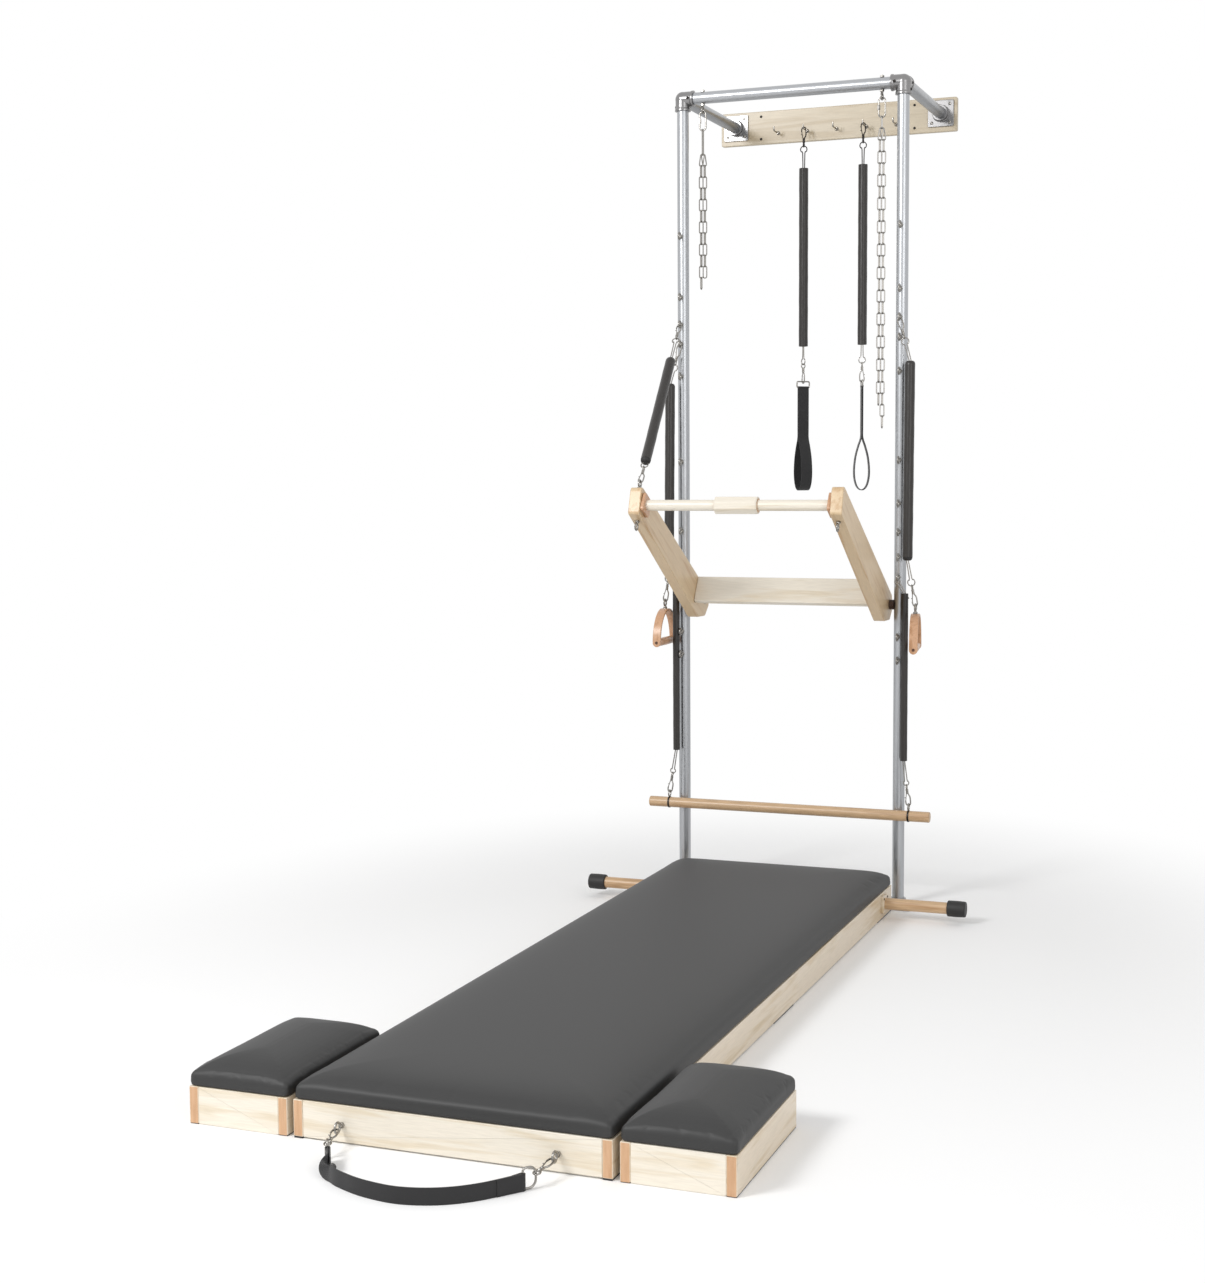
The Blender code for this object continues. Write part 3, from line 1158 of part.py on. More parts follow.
    def build_roll_bar(self):
        """The roll-down bar on its two light springs."""
        loop_hang = EYE_HANG - LOOP_WIRE
        hang_z = EYE_HEIGHTS[ROLL_EYE] - loop_hang
        ring_z = ROLL_BAR_HEIGHT + ROLL_BAR_RADIUS + ROLL_BAND_THICKNESS + EYE_RADIUS
        hook_z = ring_z + EYE_RADIUS - ROLL_EYE_WIRE - LINKED - SNAP_WIRE
        self.body("roll_springs", (0, EYE_Y, hang_z), "tower")
        self.body("roll_springs_tail", (0, EYE_Y, ROLL_SLEEVE_TOP), "roll_springs")
        self.body("roll_bar", (0, EYE_Y, hook_z), "roll_springs_tail")
        rings = []
        for name, sign in SIDES:
            hang = Vector((sign * HALF_TOWER, EYE_Y, hang_z))
            top = Vector((sign * ROLL_SLEEVES[name], EYE_Y, ROLL_SLEEVE_TOP))
            hook = Vector((sign * ROLL_BAND_OFFSET, EYE_Y, hook_z))
            spring = Spring(hang, top, top - Z * ROLL_SLEEVE_LENGTH, hook, light=True, domed=False, top_snap=False)
            prefix = name + "_roll_spring"
            body = united([spring.sleeve_mesh(), spring.top_mesh()])
            self.add(prefix + "_sleeve", body, self.palette.sleeve, "roll_springs")
            self.add(prefix + "_coil", spring.tail_mesh(), self.palette.nickel, "roll_springs_tail")
            rings.append(moved(ring_of(EYE_RADIUS, ROLL_EYE_WIRE), at((sign * ROLL_BAND_OFFSET, EYE_Y, ring_z))))
        bar = moved(turned(self.roll_bar_profile()), frame_along((0, EYE_Y, ROLL_BAR_HEIGHT), X, Y))
        self.add("roll_bar", united([bar] + rings), self.palette.oak, "roll_bar")

    def roll_bar_profile(self):
        """The roll-down bar's profile, with eased ends and the two thin bands round it."""
        r = ROLL_BAR_RADIUS
        ease = ROLL_BAR_EASE
        right = []
        for way in (-1, 1):
            x = ROLL_BAND_OFFSET + way * ROLL_BAND_WIDTH / 2
            right += [(r, x), (r + ROLL_BAND_THICKNESS, x)][::-way]
        right += [(r, ROLL_BAR_HALF - ease), (r - ease, ROLL_BAR_HALF), (0, ROLL_BAR_HALF)]
        return [(radius, -x) for radius, x in reversed(right)] + right

    def build_hanging_loops(self):
        """The springs that hang from the wall hooks, and the strap loops on them."""
        hooks = self.hook_places()
        for name, sign in SIDES:
            place = hooks[HANGING_HOOK if sign < 0 else HOOK_COUNT - 1 - HANGING_HOOK]
            y = TOWER_DEPTH - HOOK_REACH + SNAP_WIRE
            hang = Vector((place.x, y, place.z + HOOK_WIRE + SNAP_WIRE + LINKED))
            top = hang - Z * HANGING_SLEEVE_DROP
            end = top - Z * HANGING_SLEEVE_LENGTH
            hook = end - Z * HANGING_SNAP_DROP
            across = Matrix.Rotation(STRAP_TURNS[name], 3, "Z") @ X
            side = across.cross(Z)
            spring = Spring(hang, top, end, hook, domed=False, lower_side=side)
            prefix = name + "_hanging_spring"
            self.body(prefix, hang, "tower")
            self.body(prefix + "_tail", top, prefix)
            self.add_spring(prefix, spring, (prefix, prefix + "_tail"))
            strap = name + "_strap"
            self.body(strap, hook, prefix + "_tail")
            self.add_strap_loop(name, hook, across)

    def add_strap_loop(self, name, hook, across):
        """A strap loop: a rectangular ring and webbing that folds round it and opens below."""
        body = name + "_strap"
        bar = hook + Z * (RING_WIRE + SNAP_WIRE + LINKED)
        ring_frame = frame_along(bar, -Z, across)
        ring = rectangular_ring(STRAP_WIDTH + 2 * RING_WIRE + RING_PLAY, RING_HEIGHT, RING_WIRE)
        ring = moved(ring, ring_frame)
        low_bar = bar - Z * RING_HEIGHT
        fold = RING_WIRE - 2 * LOCKED + STRAP_THICKNESS / 2
        layer = STRAP_THICKNESS / 2 + CLEARANCE
        half = STRAP_OPENING / 2
        seam = -STRAP_SEAM
        foot = -STRAP_LENGTH
        right = [(fold * math.cos(a), 0.0, fold * math.sin(a)) for a in (math.pi / 2, math.pi / 4, 0.0, -math.pi / 5)]
        right += [(layer, 0.0, -fold * 2.2), (layer, 0.0, seam), (half * 0.45, 0.0, seam - 0.030),
                  (half * 0.82, 0.0, seam - 0.065), (half, 0.0, seam - 0.105), (half * 0.90, 0.0, foot + 0.030),
                  (half * 0.55, 0.0, foot + 0.008), (half * 0.18, 0.0, foot)]
        left = [(-x, y, z) for x, y, z in reversed(right[1:])]
        loop = ribbon(right + left, STRAP_WIDTH, STRAP_THICKNESS, cyclic=True)
        normal = across.cross(Z)
        loop_frame = frame_along(low_bar, -Z, normal)
        self.add(name + "_strap_loop", united([moved(loop, loop_frame), ring]), self.palette.webbing, body)

    def build_chains(self):
        """The two doubled chains that hang from the cross tube."""
        link = link_of(LINK_LENGTH, LINK_WIDTH, LINK_WIRE, sides=LINK_SIDES)
        quick = wire(oval(QUICK_LENGTH - 2 * QUICK_WIRE, QUICK_WIDTH - 2 * QUICK_WIRE), QUICK_WIRE, cyclic=True)
        nut_place = (QUICK_WIRE - QUICK_WIDTH / 2, 0, QUICK_WIRE - (QUICK_LENGTH + QUICK_NUT_LENGTH) / 2)
        nut = moved(rod(QUICK_NUT_RADIUS, QUICK_NUT_LENGTH, 6), at(nut_place) @ Matrix.Rotation(0.2, 4, "Z"))
        quick = united([quick, nut])
        for name, sign in SIDES:
            top_length = CHAIN_TOP_LINKS[name]
            hang = self.chain_eye(sign) - Z * (EYE_HANG - QUICK_WIRE)
            body = name + "_chain"
            self.body(body, hang, "tower")
            even = [moved(quick, at(hang))]
            foot = hang.z - QUICK_LENGTH + 2 * QUICK_WIRE
            top = Vector((hang.x, 0, foot + QUICK_WIRE + LINK_WIRE - LOCKED))
            top_link = link_of(top_length, LINK_WIDTH, LINK_WIRE, sides=LINK_SIDES)
            odd = [moved(top_link, at(top) @ Matrix.Rotation(math.pi / 2, 4, "Z"))]
            foot = Vector((hang.x, 0, top.z - top_length + 2 * LINK_WIRE))
            for way, count in zip((-1, 1), CHAIN_COUNTS[name]):
                links = self.strand(link, foot, way, count)
                even += links[0::2]
                odd += links[1::2]
            self.add(body, boolean(joined(even), joined(odd), "UNION"), self.palette.nickel, body)

    def strand(self, link, start, way, count):
        """One strand of a doubled chain: its first link leans out, and the rest hang straight."""
        overlap = 2 * LINK_WIRE - LOCKED
        pitch = LINK_LENGTH - 2 * LINK_WIRE - overlap
        lean = math.asin(STRAND_SPREAD / pitch)
        offset = Vector((0, way * STRAND_OFFSET, overlap))
        parts = [moved(link, at(start + offset) @ Matrix.Rotation(-way * lean, 4, "Y"))]
        x = start.x + way * STRAND_SPREAD
        z = start.z + overlap - pitch * math.cos(lean)
        for k in range(1, count):
            spin = Matrix.Rotation(math.pi / 2, 4, "Z") if k % 2 else Matrix.Identity(4)
            parts.append(moved(link, at((x, way * STRAND_OFFSET, z)) @ spin))
            z -= pitch
        return parts

    def foot_snap(self, sign):
        """Where a foot strap's snap hook hangs, its frame and the upright bar of the ring it holds."""
        lead = Vector((0, -math.cos(FOOT_SNAP_LEAD), -math.sin(FOOT_SNAP_LEAD)))
        hang = self.foot_eye(sign) + lead * (EYE_HANG - SNAP_WIRE - SLANT_PLAY)
        x, y = FOOT_BAND_ROUTE[0 if sign < 0 else -1]
        frame = frame_along(hang, Vector((x, y, FOOT_EYE_HEIGHT - FOOT_SNAP_DROP)) - hang)
        bar = frame @ Vector((0, 0, -snap_reach(RING_WIRE)))
        bar.z = FOOT_RING_WIDTH / 2 + RING_WIRE + CLEARANCE
        return hang, frame, bar

    def foot_band_route(self):
        """The foot strap's band on the floor, from one ring to the other."""
        route = [Vector((x, y, 0)) for x, y in FOOT_BAND_ROUTE]
        gap = FOOT_RING_DEPTH + RING_WIRE + CLEARANCE
        for sign, end, beside in ((-1, 0, 1), (1, -1, -2)):
            bar = self.foot_snap(sign)[2]
            bar.z = 0
            route[end] = bar - (bar - route[beside]).normalized() * gap
        return smooth_route(route, 2)

    def build_foot_strap(self):
        """The strap in front of the mat: two snap hooks, two rings and a band lying on the floor."""
        hang = self.foot_snap(1)[0]
        self.body("foot_strap", (0, hang.y, hang.z), "tower")
        ring = rectangular_ring(FOOT_RING_WIDTH, FOOT_RING_DEPTH, RING_WIRE)
        for name, sign in SIDES:
            hang, frame, bar = self.foot_snap(sign)
            end = self.foot_route[0 if sign < 0 else -1]
            inward = Vector((end.x - bar.x, end.y - bar.y, 0))
            hook = united([moved(snap_hook(crossed=False), frame), moved(ring, frame_along(bar, inward, Z))])
            self.add(name + "_foot_strap_hook", hook, self.palette.nickel, "foot_strap")
        band = ribbon([(p.x, 0.0, p.y) for p in self.foot_route], FOOT_BAND_WIDTH, FOOT_BAND_THICKNESS)
        stand = Matrix(((1, 0, 0, 0), (0, 0, 1, 0), (0, -1, 0, FOOT_BAND_WIDTH / 2 + CLEARANCE), (0, 0, 0, 1)))
        self.add("foot_strap_band", moved(band, stand), self.palette.webbing, "foot_strap")


clear_scene()
Unit().build()
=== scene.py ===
"""Pilates wall unit: the finished look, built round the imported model.

Everything is in metres in the model's own frame: +Z up, +Y from the front of the mat towards the
wall, x = 0 midway between the poles and z = 0 on the floor. Heights and widths below are the real
ones; distances along Y are given from the line of the two poles, and at() moves them into place.
"""
import json
import logging
import math
from dataclasses import dataclass, field
from enum import Enum
from typing import Sequence

import bmesh
import bpy
import numpy as np
from mathutils import Matrix
from numpy.typing import NDArray

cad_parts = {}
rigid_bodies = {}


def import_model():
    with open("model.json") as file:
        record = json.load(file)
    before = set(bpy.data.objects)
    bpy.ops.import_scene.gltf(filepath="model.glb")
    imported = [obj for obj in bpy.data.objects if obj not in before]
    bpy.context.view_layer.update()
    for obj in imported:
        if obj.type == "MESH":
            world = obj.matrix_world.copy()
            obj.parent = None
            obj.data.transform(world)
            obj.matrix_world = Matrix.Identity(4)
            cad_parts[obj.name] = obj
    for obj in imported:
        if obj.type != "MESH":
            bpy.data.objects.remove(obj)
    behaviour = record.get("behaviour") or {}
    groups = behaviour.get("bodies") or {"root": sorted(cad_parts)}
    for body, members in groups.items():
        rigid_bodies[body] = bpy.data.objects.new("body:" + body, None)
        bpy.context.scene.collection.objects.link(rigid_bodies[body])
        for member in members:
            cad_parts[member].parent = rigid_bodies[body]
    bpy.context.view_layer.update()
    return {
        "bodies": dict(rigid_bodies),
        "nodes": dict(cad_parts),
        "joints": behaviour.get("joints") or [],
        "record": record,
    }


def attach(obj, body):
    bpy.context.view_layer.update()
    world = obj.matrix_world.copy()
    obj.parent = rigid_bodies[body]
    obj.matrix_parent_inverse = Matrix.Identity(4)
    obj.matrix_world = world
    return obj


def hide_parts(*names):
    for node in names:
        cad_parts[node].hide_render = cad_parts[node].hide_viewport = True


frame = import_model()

Array = NDArray[np.float64]
Tree = bpy.types.NodeTree
Node = bpy.types.Node
Socket = bpy.types.NodeSocket
log = logging.getLogger("wall_unit")

POLE_LINE = 0.980356          # y of the two poles in the model's frame
X = np.array([1.0, 0.0, 0.0])
Y = np.array([0.0, 1.0, 0.0])
Z = np.array([0.0, 0.0, 1.0])
ALONG_X = 0.9                 # a direction with more of X than this counts as running along X
FIT = 0.0003                  # gap left between pieces that fit together
HALF_TOWER = 0.320            # from the middle to a pole's axis
TUBE_RADIUS = 0.0167
WALL_FACE = 0.515             # from the poles' line to the wall board's face
HOOK_PITCH = 0.0925           # between the wall board's hooks
CHAIN_OFFSET = 0.260          # from the middle to a chain's eyebolt
MAT_FRONT = -2.269            # front of the mat and its boxes, from the poles' line
PLANK = 0.020                 # thickness of the boards of the mat and its boxes
FRAME_TOP = 0.0735            # top of those boards
PLANK_EDGE = 0.0016           # rounding of those boards
OVERHANG = 0.0015             # how far a pad stands past its frame
HEAD_ROD = (-0.188, 0.043)    # y and z of the rod through the mat's far end
UPPER_EYE = (-0.49833, 1.20221)    # y and z of the eyebolt that the push spring holds


class Side(Enum):
    """The two sides of the unit, as seen from the front of the mat."""

    LEFT = -1
    RIGHT = 1

    @property
    def word(self) -> str:
        """The side's name in the names of pieces."""
        return self.name.lower()


class Grain(Enum):
    """The way that a board's grain runs, as a turn of the pattern about X, Y and Z."""

    ACROSS = (0.0, 0.0, 0.0)
    ALONG = (0.0, 0.0, math.pi / 2)
    ARM = (math.radians(33.0), 0.0, math.pi / 2)
    UPRIGHT = (0.0, math.pi / 2, 0.0)


# Numbers and directions.


def at(x: float, y: float, z: float) -> Array:
    """A point given from the line of the poles, in the model's frame."""
    return np.array([x, y + POLE_LINE, z])


def unit(vector: Array) -> Array:
    """Vectors along the last axis, each made one long."""
    return vector / np.maximum(np.linalg.norm(vector, axis=-1, keepdims=True), 1e-12)


def frame_of(x: Array, y: Array, z: Array, origin: Array) -> Array:
    """The 4 x 4 matrix of a frame with these axes at this place."""
    matrix = np.eye(4)
    matrix[:3] = np.stack([x, y, z, origin], 1)
    return matrix


def frame_down(origin: Array, towards: Array, side: Array | None = None) -> Array:
    """A 4 x 4 frame that hangs from a point.

    Args:
        origin: where the frame's own origin lies.
        towards: a point that the frame's -Z points at.
        side: the direction that the frame's X lies nearest to: X, or Y for a frame along X, if not given.

    Returns:
        The matrix from the frame to the model.
    """
    down = unit(np.asarray(towards, float) - origin)
    if side is None:
        side = X if abs(down[0]) < ALONG_X else Y
    across = unit(side - down * (side @ down))
    return frame_of(across, np.cross(-down, across), -down, origin)


def smooth(points: Sequence[Sequence[float]], per_span: int, closed: bool = False) -> Array:
    """A Catmull-Rom curve through points.

    Each span is the cubic whose end slopes are half the chord between its neighbours.

    Args:
        points: the points that the curve passes.
        per_span: samples in each span.
        closed: whether the last point leads back to the first.

    Returns:
        The sampled points, one to a row.
    """
    p = np.asarray(points, float)
    if closed:
        p = np.vstack([p[-1:], p, p[:2]])
    else:
        p = np.vstack([2 * p[:1] - p[1:2], p, 2 * p[-1:] - p[-2:-1]])
    a, b, c, d = p[:-3, None], p[1:-2, None], p[2:-1, None], p[3:, None]
    t = np.linspace(0, 1, per_span, endpoint=False)[None, :, None]
    curve = 0.5 * (2 * b + (c - a) * t + (2 * a - 5 * b + 4 * c - d) * t ** 2 + (3 * b - a - 3 * c + d) * t ** 3)
    curve = curve.reshape(-1, p.shape[1])
    return curve if closed else np.vstack([curve, p[-2]])


def eased(points: Sequence[Sequence[float]], radius: float | Sequence[float], closed: bool = True,
          steps: int = 6) -> Array:
    """Rounds the corners of an outline.

    Each corner becomes the quadratic curve from a point before it to a point after it.

    Args:
        points: the corners.
        radius: how far from a corner its curve starts, for all or for each.
        closed: whether the outline is closed.
        steps: samples in each curve.

    Returns:
        The rounded outline.
    """
    p = np.asarray(points, float)
    reach = np.broadcast_to(np.asarray(radius, float), len(p))[:, None]
    before, after = np.roll(p, 1, 0), np.roll(p, -1, 0)
    lead = np.minimum(reach, 0.48 * np.linalg.norm(before - p, axis=1, keepdims=True))
    trail = np.minimum(reach, 0.48 * np.linalg.norm(after - p, axis=1, keepdims=True))
    start = p + unit(before - p) * lead
    end = p + unit(after - p) * trail
    t = np.linspace(0, 1, steps)[None, :, None]
    curve = (1 - t) ** 2 * start[:, None] + 2 * t * (1 - t) * p[:, None] + t ** 2 * end[:, None]
    if closed:
        return curve.reshape(-1, p.shape[1])
    return np.vstack([p[:1], curve[1:-1].reshape(-1, p.shape[1]), p[-1:]])


def filleted(points: Sequence[Sequence[float]], radii: Sequence[float]) -> Array:
    """A closed outline with a rounding of its own radius at each corner.

    A rounding starts its radius over the tangent of half the corner's angle away from the corner.
    """
    p = np.asarray(points, float)
    before, after = unit(np.roll(p, 1, 0) - p), unit(np.roll(p, -1, 0) - p)
    half = np.arccos(np.clip((before * after).sum(1), -1, 1)) / 2
    return eased(p, np.asarray(radii, float) / np.tan(half))


def circle(radius: float, sides: int) -> Array:
    """A round section, by equal angles."""
    angle = np.linspace(0, math.tau, sides, endpoint=False)
    return radius * np.stack([np.cos(angle), np.sin(angle)], 1)


def flat_section(width: float, thickness: float, ease: float, steps: int = 4) -> Array:
    """A strip's section: a rectangle with rounded corners."""
    w, t = width / 2, thickness / 2
    return eased([(-w, -t), (w, -t), (w, t), (-w, t)], ease, steps=steps)


def in_plane(flat: Array, axis: int) -> Array:
    """Flat points laid in the plane square to X, axis 0, or to Y, axis 1."""
    return np.insert(flat, axis, 0.0, axis=1)


def rectangle(width: float, height: float, radius: float, steps: int = 6) -> Array:
    """A rectangle about the origin with rounded corners."""
    w, h = width / 2, height / 2
    return eased([(-w, -h), (w, -h), (w, h), (-w, h)], radius, steps=steps)


# Surfaces.


@dataclass
class Surface:
    """Quads and end faces with their vertices, and a length along and round each quad's corner."""

    points: Array
    quads: NDArray[np.int64]
    ends: list[list[int]] = field(default_factory=list)
    lengths: Array | None = None

    def moved(self, matrix: Array) -> "Surface":
        """The surface in another place."""
        points = self.points @ matrix[:3, :3].T + matrix[:3, 3]
        return Surface(points, self.quads, self.ends, self.lengths)


def together(surfaces: Sequence[Surface]) -> Surface:
    """Several surfaces as one."""
    starts = np.cumsum([0] + [len(s.points) for s in surfaces])
    return Surface(
        np.vstack([s.points for s in surfaces]),
        np.vstack([s.quads + start for s, start in zip(surfaces, starts)]),
        [[k + int(start) for k in end] for s, start in zip(surfaces, starts) for end in s.ends],
        np.vstack([s.lengths for s in surfaces]),
    )


def skin(points: Array, wrap: bool = True, loop: bool = False, ends: bool = True) -> Surface:
    """Covers a grid of points with quads.

    Rows and columns are the surface's two parameters. A corner's lengths are the distances
    travelled along the columns and round the rows, in metres.

    Args:
        points: rows by columns by three.
        wrap: whether each row closes on itself.
        loop: whether the last row leads back to the first.
        ends: whether open ends of a wrapped grid are closed.

    Returns:
        The surface.
    """
    rows, columns = points.shape[:2]
    i = np.arange(rows if loop else rows - 1)[:, None]
    j = np.arange(columns if wrap else columns - 1)[None, :]
    below, beside = (i + 1) % rows, (j + 1) % columns
    quads = np.stack([i * columns + j, i * columns + beside, below * columns + beside, below * columns + j], -1)
    step = np.linalg.norm(np.roll(points, -1, 0) - points, axis=2).mean(1)
    along = np.concatenate([[0.0], np.cumsum(step)])
    step = np.linalg.norm(np.roll(points, -1, 1) - points, axis=2).mean(0)
    around = np.concatenate([[0.0], np.cumsum(step)])
    shape = np.broadcast_shapes(i.shape, j.shape)
    low, high = (np.broadcast_to(v, shape) for v in (along[i], along[i + 1]))
    left, right = (np.broadcast_to(v, shape) for v in (around[j], around[j + 1]))
    lengths = np.stack([np.stack(pair, -1) for pair in ((left, low), (right, low), (right, high), (left, high))], -2)
    closing = []
    if wrap and ends and not loop:
        closing = [list(range(columns))[::-1], list(range((rows - 1) * columns, rows * columns))]
    return Surface(points.reshape(-1, 3), quads.reshape(-1, 4), closing, lengths.reshape(-1, 4, 2))


def sweep(path: Array, across: Array, section: Array, closed: bool = False,
          widths: Array | float = 1.0) -> Surface:
    """Carries a section along a path.

    The section's first number runs along across, made square to the path, and its second along
    the cross product of the path's direction with it.

    Args:
        path: the points that the section's middle passes.
        across: one direction, or one for each point.
        section: the section's outline.
        closed: whether the path is closed.
        widths: how much wider or narrower the section is at each point.

    Returns:
        The swept surface, closed at its ends.
    """
    ahead, behind = np.roll(path, -1, 0), np.roll(path, 1, 0)
    if not closed:
        ahead[-1], behind[0] = path[-1], path[0]
    tangent = unit(ahead - behind)
    wide = np.broadcast_to(np.asarray(across, float), path.shape)
    wide = unit(wide - tangent * (wide * tangent).sum(1, keepdims=True))
    deep = np.cross(tangent, wide)
    wide = wide * np.broadcast_to(widths, len(path))[:, None]
    points = path[:, None] + section[None, :, :1] * wide[:, None] + section[None, :, 1:] * deep[:, None]
    return skin(points, wrap=True, loop=closed)


def wire(points: Array, normal: Array, radius: float, closed: bool = False, sides: int = 10) -> Surface:
    """A round wire along a path that lies square to a direction."""
    return sweep(np.asarray(points, float), normal, circle(radius, sides), closed)


def turned(profile: Array | Sequence[Sequence[float]], matrix: Array, segments: int = 48,
           hollow: bool = False) -> Surface:
    """Turns a profile round the frame's Z.

    Each profile point is a radius and a height; a radius of nothing closes the surface there.

    Args:
        profile: the points from one end to the other.
        matrix: the frame of the turned piece.
        segments: faces round it.
        hollow: whether the profile is itself a closed outline, as a pipe's wall is.

    Returns:
        The turned surface.
    """
    p = np.asarray(profile, float)
    angle = np.linspace(0, math.tau, segments, endpoint=False)
    height = np.broadcast_to(p[:, 1:], (len(p), segments))
    points = np.stack([p[:, :1] * np.cos(angle), p[:, :1] * np.sin(angle), height], -1)
    return skin(points, loop=hollow, ends=bool(p[0, 0] > 0 or p[-1, 0] > 0)).moved(matrix)


def rod(radius: float, start: Array, end: Array, ease: float = 0.0006, segments: int = 48) -> Surface:
    """A round rod between two points, its ends eased."""
    length = float(np.linalg.norm(np.asarray(end) - start))
    profile = [(0, 0), (radius - ease, 0), (radius, -ease), (radius, ease - length), (radius - ease, -length),
               (0, -length)]
    return turned(profile, frame_down(np.asarray(start, float), end), segments)


def slab(outline: Array, thickness: float, ease: float, matrix: Array, steps: int = 4) -> Surface:
    """A plate cut to an outline, with its two rims rounded.

    Near each face the outline is drawn in along its own normals by a quarter circle.

    Args:
        outline: the closed outline in the frame's XY plane.
        thickness: the plate's thickness, half on each side.
        ease: radius of the rounded rims.
        matrix: the plate's frame.
        steps: rings in each rounded rim.

    Returns:
        The plate.
    """
    tangent = unit(np.roll(outline, -1, 0) - np.roll(outline, 1, 0))
    inward = np.stack([-tangent[:, 1], tangent[:, 0]], 1)
    area = 0.5 * np.sum(outline[:, 0] * np.roll(outline[:, 1], -1) - np.roll(outline[:, 0], -1) * outline[:, 1])
    inward = inward * np.sign(area)
    turn = np.linspace(0, math.pi / 2, steps)
    inset = np.concatenate([ease * (1 - np.sin(turn)), ease * (1 - np.cos(turn))])
    height = np.concatenate([ease * (1 - np.cos(turn)), thickness - ease * (1 - np.sin(turn))]) - thickness / 2
    flat = outline[None] + inward[None] * inset[:, None, None]
    points = np.concatenate([flat, np.broadcast_to(height[:, None, None], flat.shape[:2] + (1,))], 2)
    return skin(points).moved(matrix)


def board(low: Array, high: Array, ease: float = 0.0012) -> Surface:
    """A straight board between two corners, with all its edges rounded."""
    low, high = np.asarray(low, float), np.asarray(high, float)
    size = high - low
    thin = int(np.argmin(size))
    a, b = (thin + 1) % 3, (thin + 2) % 3
    axes = np.eye(3)
    matrix = frame_of(axes[a], axes[b], axes[thin], (low + high) / 2)
    return slab(rectangle(size[a], size[b], ease, 4), size[thin], ease, matrix)


def ring(centre: Array, normal: Array, radius: float, thickness: float, steps: int = 36, sides: int = 12) -> Surface:
    """A round ring of wire."""
    first = unit(np.cross(normal, Z if abs(normal[2]) < 0.9 else X))
    second = np.cross(normal, first)
    angle = np.linspace(0, math.tau, steps, endpoint=False)[:, None]
    path = centre + radius * (np.cos(angle) * first + np.sin(angle) * second)
    return wire(path, normal, thickness, closed=True, sides=sides)


def nut(centre: Array, axis: Array, radius: float, thickness: float) -> Surface:
    """A hexagon nut with eased edges."""
    return slab(eased(circle(radius, 6), radius * 0.08, steps=3), thickness, radius * 0.1,
                frame_down(centre, centre - axis))


def screw_head(centre: Array, axis: Array, radius: float) -> Surface:
    """A low domed screw head with its round recess."""
    profile = [(0, -0.0002), (radius * 0.32, 0.0000), (radius * 0.38, radius * 0.42), (radius * 0.75, radius * 0.32),
               (radius * 0.97, radius * 0.12), (radius, 0.0), (0, -0.0005)]
    return turned(profile, frame_down(centre, centre - axis), 24)


# Finishes.


def linear(colour: str) -> tuple[float, float, float, float]:
    """An sRGB hex colour as linear light."""
    channels = [int(colour[k:k + 2], 16) / 255 for k in (1, 3, 5)]
    return (*[c / 12.92 if c <= 0.04045 else ((c + 0.055) / 1.055) ** 2.4 for c in channels], 1.0)


def add_node(tree: Tree, kind: str, inputs: dict | None = None, **settings) -> Node:
    """Adds a node.

    Args:
        tree: the material's tree.
        kind: the node's type, without ShaderNode.
        inputs: a value or an output for each named or numbered input.
        settings: the node's own settings.

    Returns:
        The new node.
    """
    made = tree.nodes.new("ShaderNode" + kind)
    for name, value in settings.items():
        setattr(made, name, value)
    for name, value in (inputs or {}).items():
        if isinstance(value, Socket):
            tree.links.new(value, made.inputs[name])
        else:
            made.inputs[name].default_value = value
    return made


def ramp(tree: Tree, factor: Socket,
         stops: Sequence[tuple[float, str]]) -> Socket:
    """Colours a factor through stops of a place and a hex colour."""
    made = add_node(tree, "ValToRGB", {0: factor})
    elements = made.color_ramp.elements
    elements[0].position, elements[0].color = stops[0][0], linear(stops[0][1])
    elements[1].position, elements[1].color = stops[-1][0], linear(stops[-1][1])
    for place, colour in stops[1:-1]:
        elements.new(place).color = linear(colour)
    return made.outputs[0]


def place_of(tree: Tree) -> Socket:
    """The object's own coordinates, in metres."""
    return add_node(tree, "TexCoord").outputs["Object"]


def scaled(tree: Tree, place: Socket, scale: Sequence[float]) -> Socket:
    """Coordinates stretched along each axis."""
    return add_node(tree, "Mapping", {"Vector": place, "Scale": scale}).outputs[0]


def noise(tree: Tree, place: Socket, scale: float, detail: float = 2.0,
          **more: float) -> Socket:
    """A cloud pattern of a number of waves to the metre."""
    return add_node(tree, "TexNoise", {"Vector": place, "Scale": scale, "Detail": detail, **more}).outputs[0]


def mapped(tree: Tree, factor: Socket, low: float, high: float, to_low: float,
           to_high: float, **settings: str) -> Socket:
    """A factor carried from one range to another."""
    return add_node(tree, "MapRange", {0: factor, 1: low, 2: high, 3: to_low, 4: to_high}, **settings).outputs[0]


def maths(tree: Tree, operation: str, *values: Socket | float) -> Socket:
    """One sum of values or outputs."""
    return add_node(tree, "Math", dict(enumerate(values)), operation=operation).outputs[0]


def relief(tree: Tree, shader: Node, height: Socket, distance: float,
           strength: float = 1.0, **more: Socket) -> None:
    """Raises the surface by a height."""
    bump = add_node(tree, "Bump", {"Height": height, "Distance": distance, "Strength": strength, **more}).outputs[0]
    tree.links.new(bump, shader.inputs["Normal"])


@dataclass(frozen=True)
class Finish:
    """What every finish has: a name, the roughness of its surface and the record's slot."""

    name: str
    roughness: float
    slot: str | None = None

    def material(self) -> bpy.types.Material:
        """The finish's material, made once."""
        made = bpy.data.materials.get(self.name)
        if made is None:
            made = bpy.data.materials.new(self.name)
            made.use_nodes = True
            shader = made.node_tree.nodes["Principled BSDF"]
            shader.inputs["Roughness"].default_value = self.roughness
            self.dress(made.node_tree, shader)
        return made

    def dress(self, tree: Tree, shader: Node) -> None:
        """Adds what is particular to this finish."""
        raise NotImplementedError


